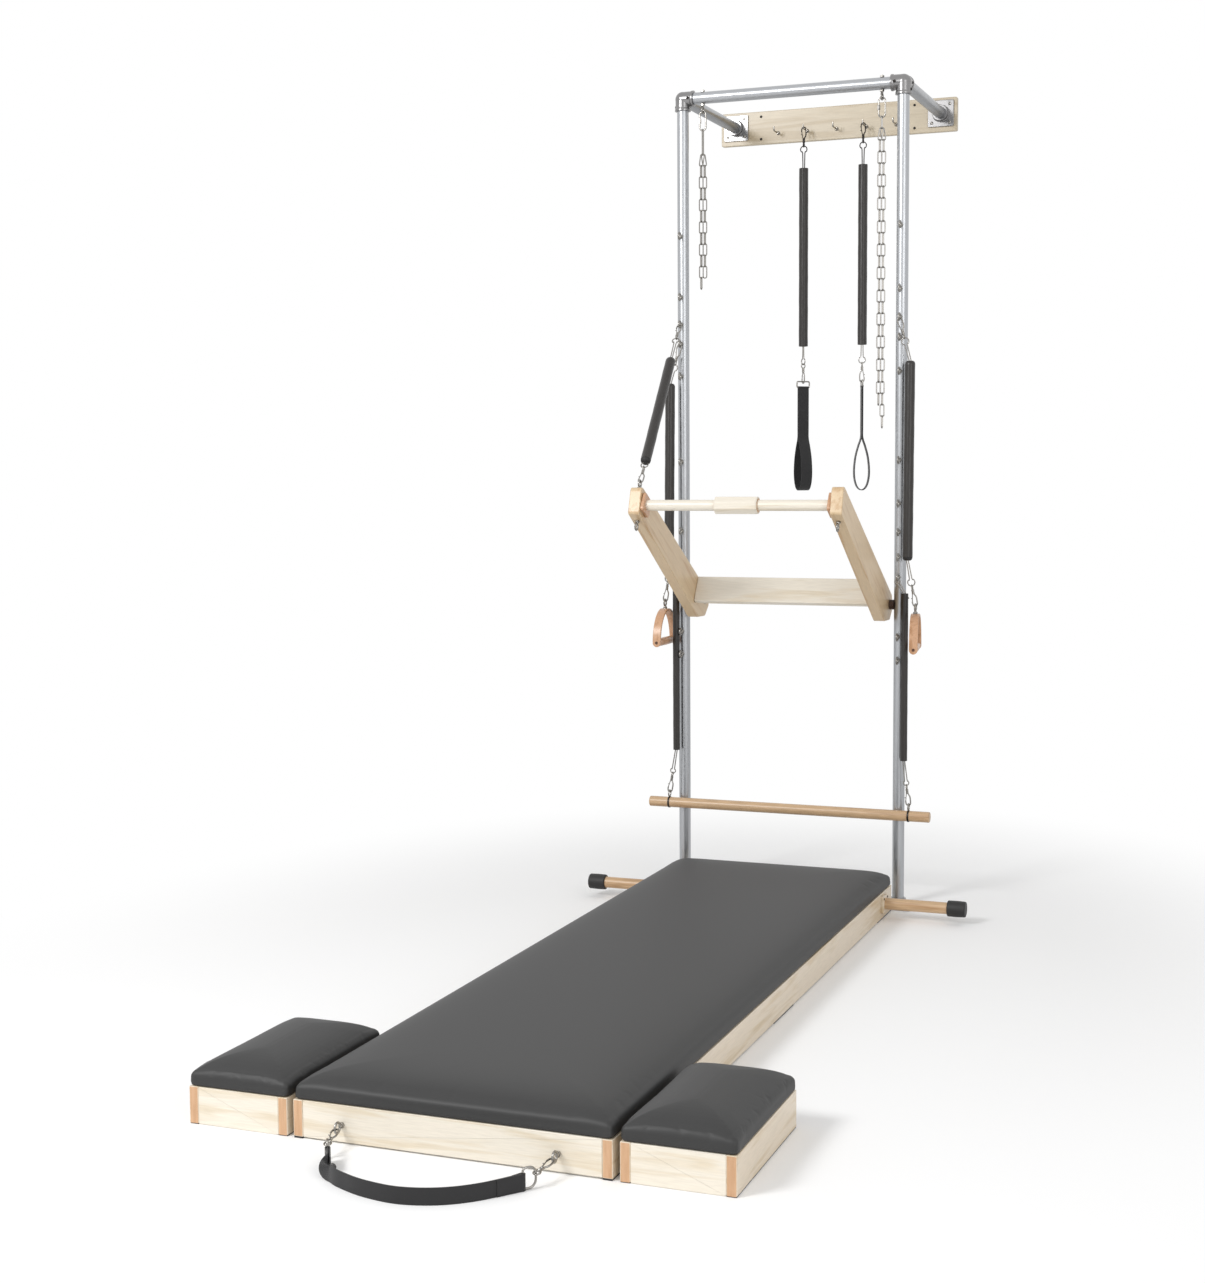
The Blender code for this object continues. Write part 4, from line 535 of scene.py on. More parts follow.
@dataclass(frozen=True)
class Metal(Finish):
    """A bare or plated metal. Fine streaks from drawing or tumbling blur what it mirrors."""

    colour: str = "#b8b9ba"
    stretch: tuple[float, float, float] = (1.0, 1.0, 1.0)
    streak: float = 0.0012       # width of a streak in metres
    depth: float = 0.00002
    mottle: float = 0.08         # how far the roughness strays from its mean

    def dress(self, tree: Tree, shader: Node) -> None:
        """Streaked bump, and a roughness that strays a little, as plated steel's does."""
        shader.inputs["Metallic"].default_value = 1.0
        shader.inputs["Base Color"].default_value = linear(self.colour)
        place = place_of(tree)
        drawn = scaled(tree, place, self.stretch)
        fine = noise(tree, drawn, 0.5 / self.streak, 3.0)
        cloud = noise(tree, place, 40.0)
        rough = mapped(tree, cloud, 0.3, 0.7, self.roughness - self.mottle, self.roughness + self.mottle)
        tree.links.new(rough, shader.inputs["Roughness"])
        relief(tree, shader, fine, self.depth)


@dataclass(frozen=True)
class Wood(Finish):
    """Planed timber under a clear satin lacquer: soft growth bands, fine pores and a thin coat."""

    pale: str = "#ecdfc8"
    dark: str = "#d9c3a0"
    grain: Grain = Grain.ALONG
    band: float = 0.011          # spacing of the growth bands in metres
    pore: float = 0.0011         # width of a pore's streak in metres
    stretch: float = 14.0        # how much longer than wide the figure is
    contrast: float = 0.16       # how much darker a pore is than the wood round it
    coat: float = 0.25

    def dress(self, tree: Tree, shader: Node) -> None:
        """Bands and pores drawn out along the grain, in colour and in a slight relief."""
        place = place_of(tree)
        turned_to_grain = add_node(tree, "Mapping", {"Vector": place, "Rotation": self.grain.value}).outputs[0]
        drawn = scaled(tree, turned_to_grain, (1 / self.stretch, 1.0, 1.0))
        bands = noise(tree, drawn, 0.5 / self.band, 2.5, Roughness=0.55, Distortion=0.6)
        pores = noise(tree, drawn, 0.5 / self.pore)
        figure = ramp(tree, bands, ((0.34, self.pale), (0.52, self.pale), (0.66, self.dark)))
        shade = mapped(tree, pores, 0.35, 0.75, 1.0, 1.0 - self.contrast)
        colour = add_node(tree, "Mix", {0: 1.0, 6: figure, 7: shade}, data_type="RGBA",
                          blend_type="MULTIPLY").outputs[2]
        tree.links.new(colour, shader.inputs["Base Color"])
        relief(tree, shader, pores, 0.00004, 0.6)
        shader.inputs["Coat Weight"].default_value = self.coat
        shader.inputs["Coat Roughness"].default_value = 0.22


@dataclass(frozen=True)
class EndGrain(Finish):
    """Sawn end grain, which drinks lacquer in and turns orange: fine pores in faint bands."""

    pale: str = "#d5ae8a"
    dark: str = "#bd916b"

    def dress(self, tree: Tree, shader: Node) -> None:
        """Upright growth bands, cut across, under fine pores."""
        place = place_of(tree)
        drawn = scaled(tree, place, (1.0, 1.0, 0.12))
        rings = noise(tree, drawn, 130.0)
        dots = noise(tree, place, 900.0)
        both = maths(tree, "MULTIPLY", rings, dots)
        tree.links.new(ramp(tree, both, ((0.15, self.pale), (0.42, self.dark))), shader.inputs["Base Color"])
        relief(tree, shader, dots, 0.00003)


@dataclass(frozen=True)
class Vinyl(Finish):
    """Coated upholstery cloth, embossed with a fine leather grain and drawn tight over foam."""

    colour: str = "#1f1d23"
    grain: float = 0.0016        # width of a pebble of the embossing in metres

    def dress(self, tree: Tree, shader: Node) -> None:
        """Pebbles for the embossing, and a long soft unevenness of the foam below."""
        shader.inputs["Base Color"].default_value = linear(self.colour)
        shader.inputs["Sheen Weight"].default_value = 0.04
        place = place_of(tree)
        pebble = add_node(tree, "TexVoronoi", {"Vector": place, "Scale": 1 / self.grain, "Randomness": 1.0},
                          feature="SMOOTH_F1").outputs["Distance"]
        swell = noise(tree, place, 9.0)
        low = add_node(tree, "Bump", {"Height": swell, "Distance": 0.0012, "Strength": 0.35}).outputs[0]
        relief(tree, shader, pebble, 0.00012, 0.5, Normal=low)
        worn = mapped(tree, swell, 0.3, 0.7, self.roughness - 0.04, self.roughness + 0.05)
        tree.links.new(worn, shader.inputs["Roughness"])


@dataclass(frozen=True)
class Weave(Finish):
    """Woven synthetic cloth. Its threads follow the piece's own lengths, drawn coarse enough to see."""

    colour: str = "#1d1b1a"
    thread_along: float = 0.0016
    thread_around: float = 0.0016
    depth: float = 0.0003
    sheen: float = 0.2

    def dress(self, tree: Tree, shader: Node) -> None:
        """Warp and weft as two crossed waves, which raise each other in turn; where the weave sinks its colour is
        darkened as painted shade.
        """
        shader.inputs["Sheen Weight"].default_value = self.sheen
        shader.inputs["Sheen Roughness"].default_value = 0.4
        place = add_node(tree, "UVMap", uv_map="lengths").outputs[0]
        parts = add_node(tree, "SeparateXYZ", {0: place})
        waves = []
        for axis, thread in (("X", self.thread_around), ("Y", self.thread_along)):
            turn = maths(tree, "MULTIPLY", parts.outputs[axis], math.tau / (2 * thread))
            waves.append(maths(tree, "SINE", turn))
        both = maths(tree, "MULTIPLY", *waves)
        height = mapped(tree, both, -1.0, 1.0, 0.0, 1.0)
        relief(tree, shader, height, self.depth, 0.6)
        # Painted shade: the colour is darkened to 0.72 where the weave sinks between its threads.
        deep = "#" + "".join("%02x" % int(int(self.colour[k:k + 2], 16) * 0.72) for k in (1, 3, 5))
        tree.links.new(ramp(tree, height, ((0.0, deep), (1.0, self.colour))), shader.inputs["Base Color"])


@dataclass(frozen=True)
class Moulded(Finish):
    """Moulded rubber or plastic with the fine haze that it takes from the mould."""

    colour: str = "#1b1a1a"

    def dress(self, tree: Tree, shader: Node) -> None:
        """An even colour over a fine grit."""
        shader.inputs["Base Color"].default_value = linear(self.colour)
        place = place_of(tree)
        grit = noise(tree, place, 1400.0)
        relief(tree, shader, grit, 0.00005)


def galvanised(way: str, colour: str, stretch: tuple[float, float, float]) -> Metal:
    """Galvanised tube: drawn, then hot-dipped and polished, so it mirrors softly with streaks along it."""
    return Metal("galvanised_tube_" + way, 0.33, "galvanised_tube", colour, stretch, depth=0.000003, mottle=0.03)


TUBE_UP = galvanised("upright", "#b3b5b8", (1.0, 1.0, 0.04))
TUBE_ACROSS = galvanised("across", "#b3b5b8", (0.04, 1.0, 1.0))
# The tubes back to the wall: the same galvanised tube in a darker colour, as painted shade.
TUBE_BACK_PAINTED_SHADE = galvanised("to_wall", "#a6a8ab", (1.0, 0.04, 1.0))
# Cast and polished fittings: smoother and darker than the tube.
CASTING = Metal("polished_casting", 0.28, "galvanised_tube", "#8f8e8e", streak=0.004, depth=0.00001)
# Bright nickel plate on drawn wire.
NICKEL = Metal("nickel_plated_steel", 0.20, "nickel_plate", "#989590", streak=0.002, depth=0.000003, mottle=0.05)
DARK_STEEL = Metal("blackened_steel", 0.42, "nickel_plate", "#3a3735", streak=0.001)
# Hard maple, planed and lacquered.
MAPLE_FRONT = Wood("maple_across", 0.38, "maple", "#ece4d5", "#e1d4bd", Grain.ACROSS, contrast=0.08)
# Maple for the wall board, drawn darker than the other maple as painted shade on the board.
MAPLE_WALL_PAINTED_SHADE = Wood("maple_on_wall", 0.40, "maple", "#c4b69d", "#b5a487", Grain.ACROSS, 0.016, contrast=0.10)
MAPLE_RAIL = Wood("maple_along", 0.38, "maple", "#e2d3bd", "#d3bf9f", Grain.ALONG, contrast=0.10)
MAPLE_ARM = Wood("maple_arm", 0.38, "maple", "#dac09b", "#c8a67c", Grain.ARM, contrast=0.12)
MAPLE_END = EndGrain("maple_end_grain", 0.45, "maple")
# Steam-bent beech, pinker than maple, with short dark flecks.
BEECH = Wood("bent_beech", 0.36, "beech", "#cfa27e", "#b98962", Grain.UPRIGHT, 0.006, 0.0009, 8.0, 0.22)
BEECH_PLUG = EndGrain("beech_end_grain", 0.5, "beech", "#5a3a26", "#3c2617")
# Turned oak with open pores.
OAK = Wood("turned_oak", 0.40, "oak", "#cfae88", "#b8926a", Grain.ACROSS, 0.007, 0.0010, 20.0, 0.26)
VINYL = Vinyl("black_vinyl", 0.30, "black_vinyl")
SLEEVE = Weave("woven_sleeve", 0.34, "black_sleeve", "#302c29", 0.0022, 0.0022, 0.00012, 0.05)
WEBBING = Weave("nylon_webbing", 0.62, "black_webbing", "#1a191b", 0.0014, 0.0022, 0.0003, 0.25)
THREAD = Moulded("sewing_thread", 0.7, None, "#3d3c40")
RUBBER = Moulded("moulded_rubber", 0.55, None, "#1d1c1c")
SPACER = Moulded("brown_nylon", 0.45, None, "#3a2418")


# Putting pieces in the scene.


def put(name: str, data: bpy.types.ID) -> bpy.types.Object:
    """A new object in the scene, at the origin."""
    made = bpy.data.objects.new(name, data)
    bpy.context.scene.collection.objects.link(made)
    return made


def add_piece(name: str, surface: Surface | Sequence[Surface], finish: Finish, body: str = "tower",
              replaces: Sequence[str] = (), sharp: float = 38.0) -> bpy.types.Object:
    """Makes a piece of the finished unit.

    Args:
        name: the piece's name.
        surface: its surface or surfaces, in the model's frame.
        finish: what it is made of.
        body: the moving body that it rides on.
        replaces: the plain solids that it stands for.
        sharp: angle in degrees past which an edge is drawn sharp.

    Returns:
        The new object.
    """
    shape = surface if isinstance(surface, Surface) else together(surface)
    mesh = bpy.data.meshes.new(name)
    mesh.from_pydata(shape.points.tolist(), [], shape.quads.tolist() + shape.ends)
    lengths = np.zeros((len(mesh.loops), 2), np.float32)
    lengths[:shape.lengths.shape[0] * 4] = shape.lengths.reshape(-1, 2)
    mesh.uv_layers.new(name="lengths").data.foreach_set("uv", lengths.ravel())
    bm = bmesh.new()
    bm.from_mesh(mesh)
    bmesh.ops.remove_doubles(bm, verts=bm.verts, dist=2e-6)
    bmesh.ops.recalc_face_normals(bm, faces=bm.faces)
    bm.to_mesh(mesh)
    bm.free()
    mesh.shade_smooth()
    mesh.set_sharp_from_angle(angle=math.radians(sharp))
    mesh.materials.append(finish.material())
    piece = put(name, mesh)
    if sharp < 180:
        flatten = piece.modifiers.new("flat_faces_stay_flat", "WEIGHTED_NORMAL")
        flatten.weight, flatten.keep_sharp = 100, True
    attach(piece, body)
    if replaces:
        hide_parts(*replaces)
    log.info("%s on %s, %d faces", name, body, len(mesh.polygons))
    return piece


# Hardware that many pieces share.


@dataclass(frozen=True)
class Eyebolt:
    """A forged ring on a threaded shank, with a nut against what it goes through."""

    radius: float = 0.0095
    wire: float = 0.0025
    standoff: float = 0.0173
    shank: float = 0.0026
    nut_radius: float = 0.0062
    nut_length: float = 0.0050

    def surfaces(self, centre: Array, direction: Array, through: float = 0.0) -> list[Surface]:
        """The ring, its neck and its nut.

        Args:
            centre: the ring's centre.
            direction: from the ring along the shank.
            through: how far the shank goes past the near face, with a second nut at its end.

        Returns:
            The surfaces.
        """
        way = unit(direction)
        down = frame_down(centre, centre + way)
        start = self.radius - self.wire * 0.4
        seat = self.standoff - self.nut_length
        neck = [(0, -start), (0.0028, -start), (0.0036, -start - 0.0015), (0.0046, -seat), (0.0046, -self.standoff)]
        parts = [ring(centre, X, self.radius, self.wire),
                 turned(neck + [(0, -self.standoff)], down, 20),
                 nut(centre + way * (self.standoff - self.nut_length / 2), way, self.nut_radius, self.nut_length)]
        if through:
            far = self.standoff + through
            parts.append(rod(self.shank, centre + way * self.standoff, centre + way * (far + 0.0070), 0.0005, 16))
            parts.append(nut(centre + way * (far + self.nut_length / 2), way, self.nut_radius, self.nut_length))
        return parts


@dataclass(frozen=True)
class SnapHook:
    """A swivel snap: a bent hook closed by a sprung gate, a barrel and an eye."""

    wire: float = 0.0019
    width: float = 0.0066
    length: float = 0.034
    barrel: float = 0.0040
    barrel_length: float = 0.014
    eye_radius: float = 0.0065
    eye_wire: float = 0.0017

    @property
    def eye_height(self) -> float:
        """The eye's centre, below the hook's top wire."""
        return -self.length - self.barrel_length - self.eye_radius + self.eye_wire

    def reach(self, held: float) -> float:
        """From the hook's top wire to the middle of a wire held in the eye."""
        return self.eye_radius - self.eye_wire - held + 0.0006 - self.eye_height

    def surfaces(self, frame: Array, crossed: bool = True) -> list[Surface]:
        """The whole hook, hanging in a frame, with its eye across the hook or in line with it."""
        w, foot = self.width, -self.length
        bend = [(0.0016, foot - 0.001), (w * 0.55, foot + 0.0035), (w, foot + 0.0105), (w, -0.0085),
                (w * 0.74, -0.0022), (0, 0), (-w * 0.74, -0.0022), (-w, -0.0085), (-w, -0.0135)]
        path = in_plane(smooth(bend, 6), 1)
        gate = rod(0.0013, np.array([-w, 0, -0.0125]), np.array([-w * 0.42, 0, foot]), 0.0003, 12)
        knob = rod(0.0011, np.array([-w * 0.7, 0, -0.023]), np.array([-w * 0.7 - 0.0042, 0, -0.0215]), 0.0004, 12)
        r, top, low = self.barrel, foot + 0.001, foot - self.barrel_length + 0.001
        barrel = [(0, top), (r * 0.7, top), (r, top - 0.0012), (r, top - 0.0058), (r * 0.84, top - 0.0064),
                  (r * 0.84, top - 0.0072), (r, top - 0.0078), (r, low + 0.0010), (r * 0.75, low), (0, low)]
        eye = ring(np.array([0, 0, self.eye_height]), X if crossed else Y, self.eye_radius, self.eye_wire, 24, 10)
        parts = [wire(path, Y, self.wire), gate, knob, turned(barrel, np.eye(4), 20), eye]
        return [part.moved(frame) for part in parts]


EYEBOLT = Eyebolt()
SNAP = SnapHook()
EYE_Y = -0.0340              # how far in front of the poles' line their eyebolts' rings stand
LINKED = 0.0043              # from a ring's centre to the middle of a snap's wire drawn up in it


def hung(x: float, height: float) -> Array:
    """Where a snap's wire hangs in a pole's eyebolt."""
    return at(x, EYE_Y, height - LINKED)


@dataclass
class SleevedSpring:
    """A steel spring in a woven sleeve. The sleeve rides with its top, the coil with its lower end."""

    name: str
    hang: Array
    top: Array
    end: Array
    hook: Array
    light: bool = False
    domed: bool = True
    top_snap: bool = True
    hardware: Metal = NICKEL
    lower_side: Array = field(default_factory=lambda: X)
    bodies: tuple[str, str] = ("", "")
    nodes: tuple[str, ...] = ()
    loop_wire: float = 0.0016
    coil_wire: float = 0.00135
    dome: float = 0.008

    @property
    def radius(self) -> float:
        """Outside of the sleeve."""
        return 0.0098 if self.light else 0.0140

    @property
    def wall(self) -> float:
        """Thickness of the sleeve."""
        return 0.0013 if self.light else 0.0018

    @property
    def loop_radius(self) -> float:
        """Radius of the round loop at either end of the spring."""
        return 0.0075 if self.light else 0.0100

    def sleeve(self) -> Surface:
        """The sleeve: a turned wall whose radius wanders by a fiftieth, as gathered cloth's does."""
        r, inner = self.radius, self.radius - self.wall
        length = float(np.linalg.norm(self.end - self.top))
        rows = -np.linspace(self.dome if self.domed else 0.001, length, 120)
        crown = [(r - 0.0006, 0.0)]
        if self.domed:
            crown = [(0.0055, 0.0), (r * 0.66, -0.0002), (r * 0.90, -self.dome * 0.38)]
        outside = np.array(crown + [(r, float(z)) for z in rows] + [(r - 0.0007, -length - 0.0004)])
        inside = np.array([(inner, -length)] + [(inner, float(z)) for z in rows[::-20]]
                          + ([(r * 0.62, -self.wall)] if self.domed else [(inner, -0.0004)]))
        profile = np.vstack([outside, inside])
        angle = np.linspace(0, math.tau, 32, endpoint=False)
        height = profile[:, 1:]
        wander = 0.010 * np.sin(3 * angle + 55 * height) + 0.007 * np.sin(5 * angle - 131 * height + 1.0)
        away = np.clip(-height / 0.03, 0, 1) * (profile[:, :1] > inner + 1e-6)
        reach = profile[:, :1] * (1 + wander * away)
        points = np.stack([reach * np.cos(angle), reach * np.sin(angle), np.broadcast_to(height, reach.shape)], -1)
        return skin(points, loop=True).moved(frame_down(self.top, self.end))

    def coil(self) -> Surface:
        """The coil: a close helix, one turn to each thickness of its wire."""
        length = float(np.linalg.norm(self.end - self.top))
        start, stop = 0.024, length + (0.0015 if self.domed else -0.003)
        turns = (stop - start) / (2.05 * self.coil_wire)
        angle = np.linspace(0, math.tau * turns, int(12 * turns))
        reach = self.radius - self.wall - 0.0005 - self.coil_wire
        out = np.stack([np.cos(angle), np.sin(angle), np.zeros_like(angle)], 1)
        path = out * reach
        path[:, 2] = -start - (stop - start) * angle / angle[-1]
        return sweep(path, out, circle(self.coil_wire, 5)).moved(frame_down(self.top, self.end))

    def end_loop(self, origin: Array, towards: Array, side: Array) -> Surface:
        """A round loop hanging from a point, drawn in to a neck of two wires that runs to another."""
        r, half = self.loop_radius, 0.0026
        foot = -max(float(np.linalg.norm(towards - origin)) + 0.004, 2.7 * r)
        turn = np.radians(np.linspace(-48, 228, 19))
        arc = np.stack([r * np.cos(turn), r * np.sin(turn) - r], 1)
        lead = np.array([(half, foot), (half, min(-2.55 * r, foot + 0.001)), (half * 1.35, -2.12 * r)])
        flat = smooth(np.vstack([lead, arc, lead[::-1] * (-1, 1)]), 2)
        return wire(in_plane(flat, 1), Y, self.loop_wire).moved(frame_down(origin, towards, side))

    def cap(self) -> Surface:
        """The domed cap that closes the sleeve's lower end."""
        r = self.radius - 0.0002
        corners = [(0, -0.0002), (r, -0.0002), (r, -0.0022), (r * 0.88, -0.0070), (r * 0.62, -0.0100), (0, -0.0102)]
        direction = unit(self.end - self.top)
        return turned(eased(corners, 0.0016, closed=False, steps=5), frame_down(self.end, self.end + direction), 36)

    def dress(self) -> None:
        """Adds the spring's pieces to its two bodies."""
        upper, lower = self.bodies
        add_piece(self.name + "_cloth_sleeve", self.sleeve(), SLEEVE, upper, self.nodes[:1])
        way = unit(self.top - self.hang)
        if self.top_snap:
            add_piece(self.name + "_upper_snap", SNAP.surfaces(frame_down(self.hang, self.top)), self.hardware, upper,
                      self.nodes[2:])
            start = self.hang + way * SNAP.reach(self.loop_wire)
            loop = self.end_loop(start, self.top + way * 0.006, X)
        else:
            middle = self.hang - Z * self.loop_radius
            lead = unit(self.top - middle)
            loop = self.end_loop(middle - lead * self.loop_radius, self.top + lead * 0.012, X)
        add_piece(self.name + "_upper_loop", loop, self.hardware, upper)
        add_piece(self.name + "_helix", self.coil(), NICKEL, lower, self.nodes[1:2])
        down = unit(self.end - self.top)
        tip = self.end + down * (0.0095 if self.domed else -0.004)
        if self.domed:
            add_piece(self.name + "_cap", self.cap(), RUBBER, lower)
        snap = SNAP.surfaces(frame_down(self.hook, tip, self.lower_side))
        add_piece(self.name + "_lower_snap", snap, NICKEL, lower)
        start = self.hook + unit(tip - self.hook) * SNAP.reach(self.loop_wire)
        add_piece(self.name + "_lower_loop", self.end_loop(start, tip, self.lower_side), NICKEL, lower)


# The tower.


@dataclass
class Tower:
    """Two poles joined by a cross tube, with a tube from each corner back to the wall."""

    half: float = HALF_TOWER
    height: float = 2.2945
    depth: float = WALL_FACE
    radius: float = TUBE_RADIUS
    wall: float = 0.0034
    fitting: float = 0.021
    reach: float = 0.034
    lip: float = 0.0018
    lip_length: float = 0.0070
    flange: float = 0.078
    flange_thickness: float = 0.0045
    collar: float = 0.0235
    collar_length: float = 0.018
    foot: tuple[float, float, float] = (0.104, 0.080, 0.040)
    foot_thickness: float = 0.005
    eye_heights: tuple[float, ...] = (1.906, 1.733, 1.655, 1.600, 1.507, 1.261, 1.141, 1.061, 0.991, 0.935, 0.767,
                                      0.701)
    chain_offset: float = CHAIN_OFFSET

    def tube(self, start: Array, end: Array) -> Surface:
        """A tube with its wall, from one point to another."""
        length = float(np.linalg.norm(end - start))
        r, bore, e = self.radius, self.radius - self.wall, 0.0006
        profile = [(bore, 0), (r - e, 0), (r, -e), (r, e - length), (r - e, -length), (bore, -length)]
        return turned(profile, frame_down(start, end), 64, hollow=True)

    def socket(self, corner: Array, way: Array) -> Surface:
        """One arm of a corner fitting: a cup with a rolled lip at its mouth."""
        r, mouth, bore = self.fitting, -self.reach, self.radius + FIT
        lip = mouth + self.lip_length
        outline = [(0, 0), (r, 0), (r, lip + 0.0015), (r + self.lip, lip - 0.0015), (r + self.lip, mouth),
                   (bore, mouth), (bore, mouth + 0.012), (0, mouth + 0.012)]
        return turned(eased(outline, 0.0009, closed=False, steps=4), frame_down(corner, corner + way), 56)

    def corner_ball(self, corner: Array) -> Surface:
        """The ball where a fitting's arms meet, by latitude and longitude."""
        turn = np.linspace(0, math.pi, 25)
        profile = np.stack([1.015 * self.fitting * np.sin(turn), 1.015 * self.fitting * np.cos(turn)], 1)
        profile[[0, -1], 0] = 0
        return turned(profile, frame_down(corner, corner - Z), 48)

    def build_corner(self, side: Side) -> None:
        """A corner fitting with the set screws that hold its tubes."""
        corner = at(side.value * self.half, 0, self.height)
        ways = (X * -side.value, Y, -Z)
        parts = [self.corner_ball(corner)] + [self.socket(corner, way) for way in ways]
        add_piece(side.word + "_corner_casting", parts, CASTING, "tower", [side.word + "_corner_fitting"])
        outside = X * side.value * (self.fitting + 0.0004)
        screws = [screw_head(corner + Y * 0.021 + outside, X * side.value, 0.0042),
                  screw_head(corner - Z * 0.021 + outside, X * side.value, 0.0042),
                  screw_head(corner - X * side.value * 0.021 - Y * (self.fitting + 0.0004), -Y, 0.0042)]
        add_piece(side.word + "_corner_screws", screws, DARK_STEEL)

    def build_flange(self, side: Side) -> None:
        """A square wall flange with its collar, rim and four screws."""
        x, half = side.value * self.half, self.flange / 2
        back = self.depth - FIT
        plate = slab(rectangle(self.flange, self.flange, 0.005), self.flange_thickness, 0.0014,
                     frame_down(at(x, back - self.flange_thickness / 2, self.height), at(x, 0, self.height)))
        r, bore = self.collar, self.radius + FIT
        outline = [(bore, 0.001), (r + 0.003, 0.001), (r, -0.002), (r, 0.0012 - self.collar_length),
                   (r - 0.0012, -self.collar_length), (bore, -self.collar_length)]
        seat = at(x, back - self.flange_thickness, self.height)
        collar = turned(outline, frame_down(seat, seat - Y), 56, hollow=True)
        add_piece(side.word + "_flange_plate", [plate, collar], CASTING, "tower", [side.word + "_wall_flange"])
        spot, face = half - 0.012, back - self.flange_thickness - 0.0002
        screws = [screw_head(at(x + i * spot, face, self.height + k * spot), -Y, 0.0048)
                  for i in (-1, 1) for k in (-1, 1)]
        screws.append(screw_head(seat + Z * (r + 0.0002) - Y * 0.010, Z, 0.0036))
        add_piece(side.word + "_flange_screws", screws, NICKEL)

    def build_foot(self, side: Side) -> None:
        """A floor plate with its collar, its set screw and two floor screws."""
        x = side.value * self.half
        width, front, back = self.foot
        t = self.foot_thickness
        middle = frame_of(X, Y, Z, at(x, (back - front) / 2, t / 2))
        plate = slab(rectangle(width, front + back, 0.006), t, 0.0012, middle)
        r, bore = self.collar - 0.001, self.radius + FIT
        outline = [(bore, 0), (r + 0.0025, 0), (r, -0.003), (r, -0.0138), (r - 0.0012, -0.015), (bore, -0.015)]
        seat = at(x, 0, t)
        collar = turned(outline, frame_down(seat, seat + Z), 56, hollow=True)
        add_piece(side.word + "_foot_plate", [plate, collar], CASTING, "tower", [side.word + "_pole_foot"])
        screws = [screw_head(at(x + i * 0.036, -0.060, t), Z, 0.0052) for i in (-1, 1)]
        screws.append(screw_head(seat + Z * 0.008 - Y * (r + 0.0002), -Y, 0.0036))
        add_piece(side.word + "_foot_screws", screws, NICKEL)

    def build(self) -> None:
        """The tubes, the fittings and the row of eyebolts down each pole."""
        top, sunk = self.height, 0.018
        for side in Side:
            x = side.value * self.half
            low, high = at(x, 0, self.foot_thickness + FIT), at(x, 0, top - sunk)
            add_piece(side.word + "_pole_tube", self.tube(high, low), TUBE_UP, "tower", [side.word + "_pole"])
            back = at(x, self.depth - self.flange_thickness - 0.0005, top)
            # These tubes take the darker tube colour, which is painted shade.
            add_piece(side.word + "_top_tube", self.tube(at(x, sunk, top), back), TUBE_BACK_PAINTED_SHADE, "tower",
                      [side.word + "_depth_tube"])
            rings = [part for h in self.eye_heights for part in EYEBOLT.surfaces(at(x, EYE_Y, h), Y)]
            add_piece(side.word + "_pole_eyebolts", rings, NICKEL)
            self.build_corner(side)
            self.build_flange(side)
            self.build_foot(side)
        ends = self.half - sunk
        cross = self.tube(at(-ends, 0, top), at(ends, 0, top))
        add_piece("top_cross_tube", cross, TUBE_ACROSS, "tower", ["cross_tube"])
        eye = top - self.radius - EYEBOLT.standoff
        bolts = [part for side in Side
                 for part in EYEBOLT.surfaces(at(side.value * self.chain_offset, 0, eye), Z, 2 * self.radius)]
        add_piece("chain_eyebolts", bolts, NICKEL)


@dataclass
class WallBoard:
    """The maple board on the wall, with five screw hooks and the screws that hold it."""

    width: float = 0.737
    height: float = 0.100
    thickness: float = 0.019
    middle: float = 2.2915
    front: float = WALL_FACE
    hook_height: float = 2.272
    pitch: float = HOOK_PITCH
    reach: float = 0.042
    wire: float = 0.0022
    turn: float = 0.006
    tip: float = 0.007

    def hook(self, x: float) -> list[Surface]:
        """A screw hook: out of the board, round a quarter turn and up, on a flared base."""
        start = at(x, self.front + 0.004, self.hook_height)
        bend = np.radians(np.linspace(0, 90, 12))
        nose = start - Y * (self.reach + 0.004)
        curve = nose - Y * (self.turn * np.sin(bend))[:, None] + Z * (self.turn * (1 - np.cos(bend)))[:, None]
        path = np.vstack([start[None], (start + nose)[None] / 2, curve, (curve[-1] + Z * self.tip)[None]])
        base = at(x, self.front, self.hook_height)
        flare = [(0, 0.002), (0.0060, 0.002), (0.0060, -0.0012), (0.0042, -0.0030), (0.0030, -0.0060), (0, -0.0060)]
        return [wire(path, X, self.wire, sides=14), turned(flare, frame_down(base, base - Y), 28)]

    def build(self) -> None:
        """The board, its hooks and its screws."""
        centre = at(0, self.front + self.thickness / 2, self.middle)
        plank = slab(rectangle(self.width, self.height, 0.006), self.thickness, 0.0022,
                     frame_down(centre, centre + Y))
        # The plank's maple is darker than the other maple, as painted shade.
        add_piece("wall_plank", plank, MAPLE_WALL_PAINTED_SHADE, "tower", ["wall_board"])
        hooks = [part for k in range(5) for part in self.hook((k - 2) * self.pitch)]
        add_piece("wall_screw_hooks", hooks, NICKEL)
        screws = [screw_head(at(x, self.front - 0.0002, self.middle + z), -Y, 0.0040)
                  for x in (-0.240, 0.240) for z in (-0.034, 0.034)]
        add_piece("wall_board_screws", screws, DARK_STEEL)


# The mat and its two boxes.


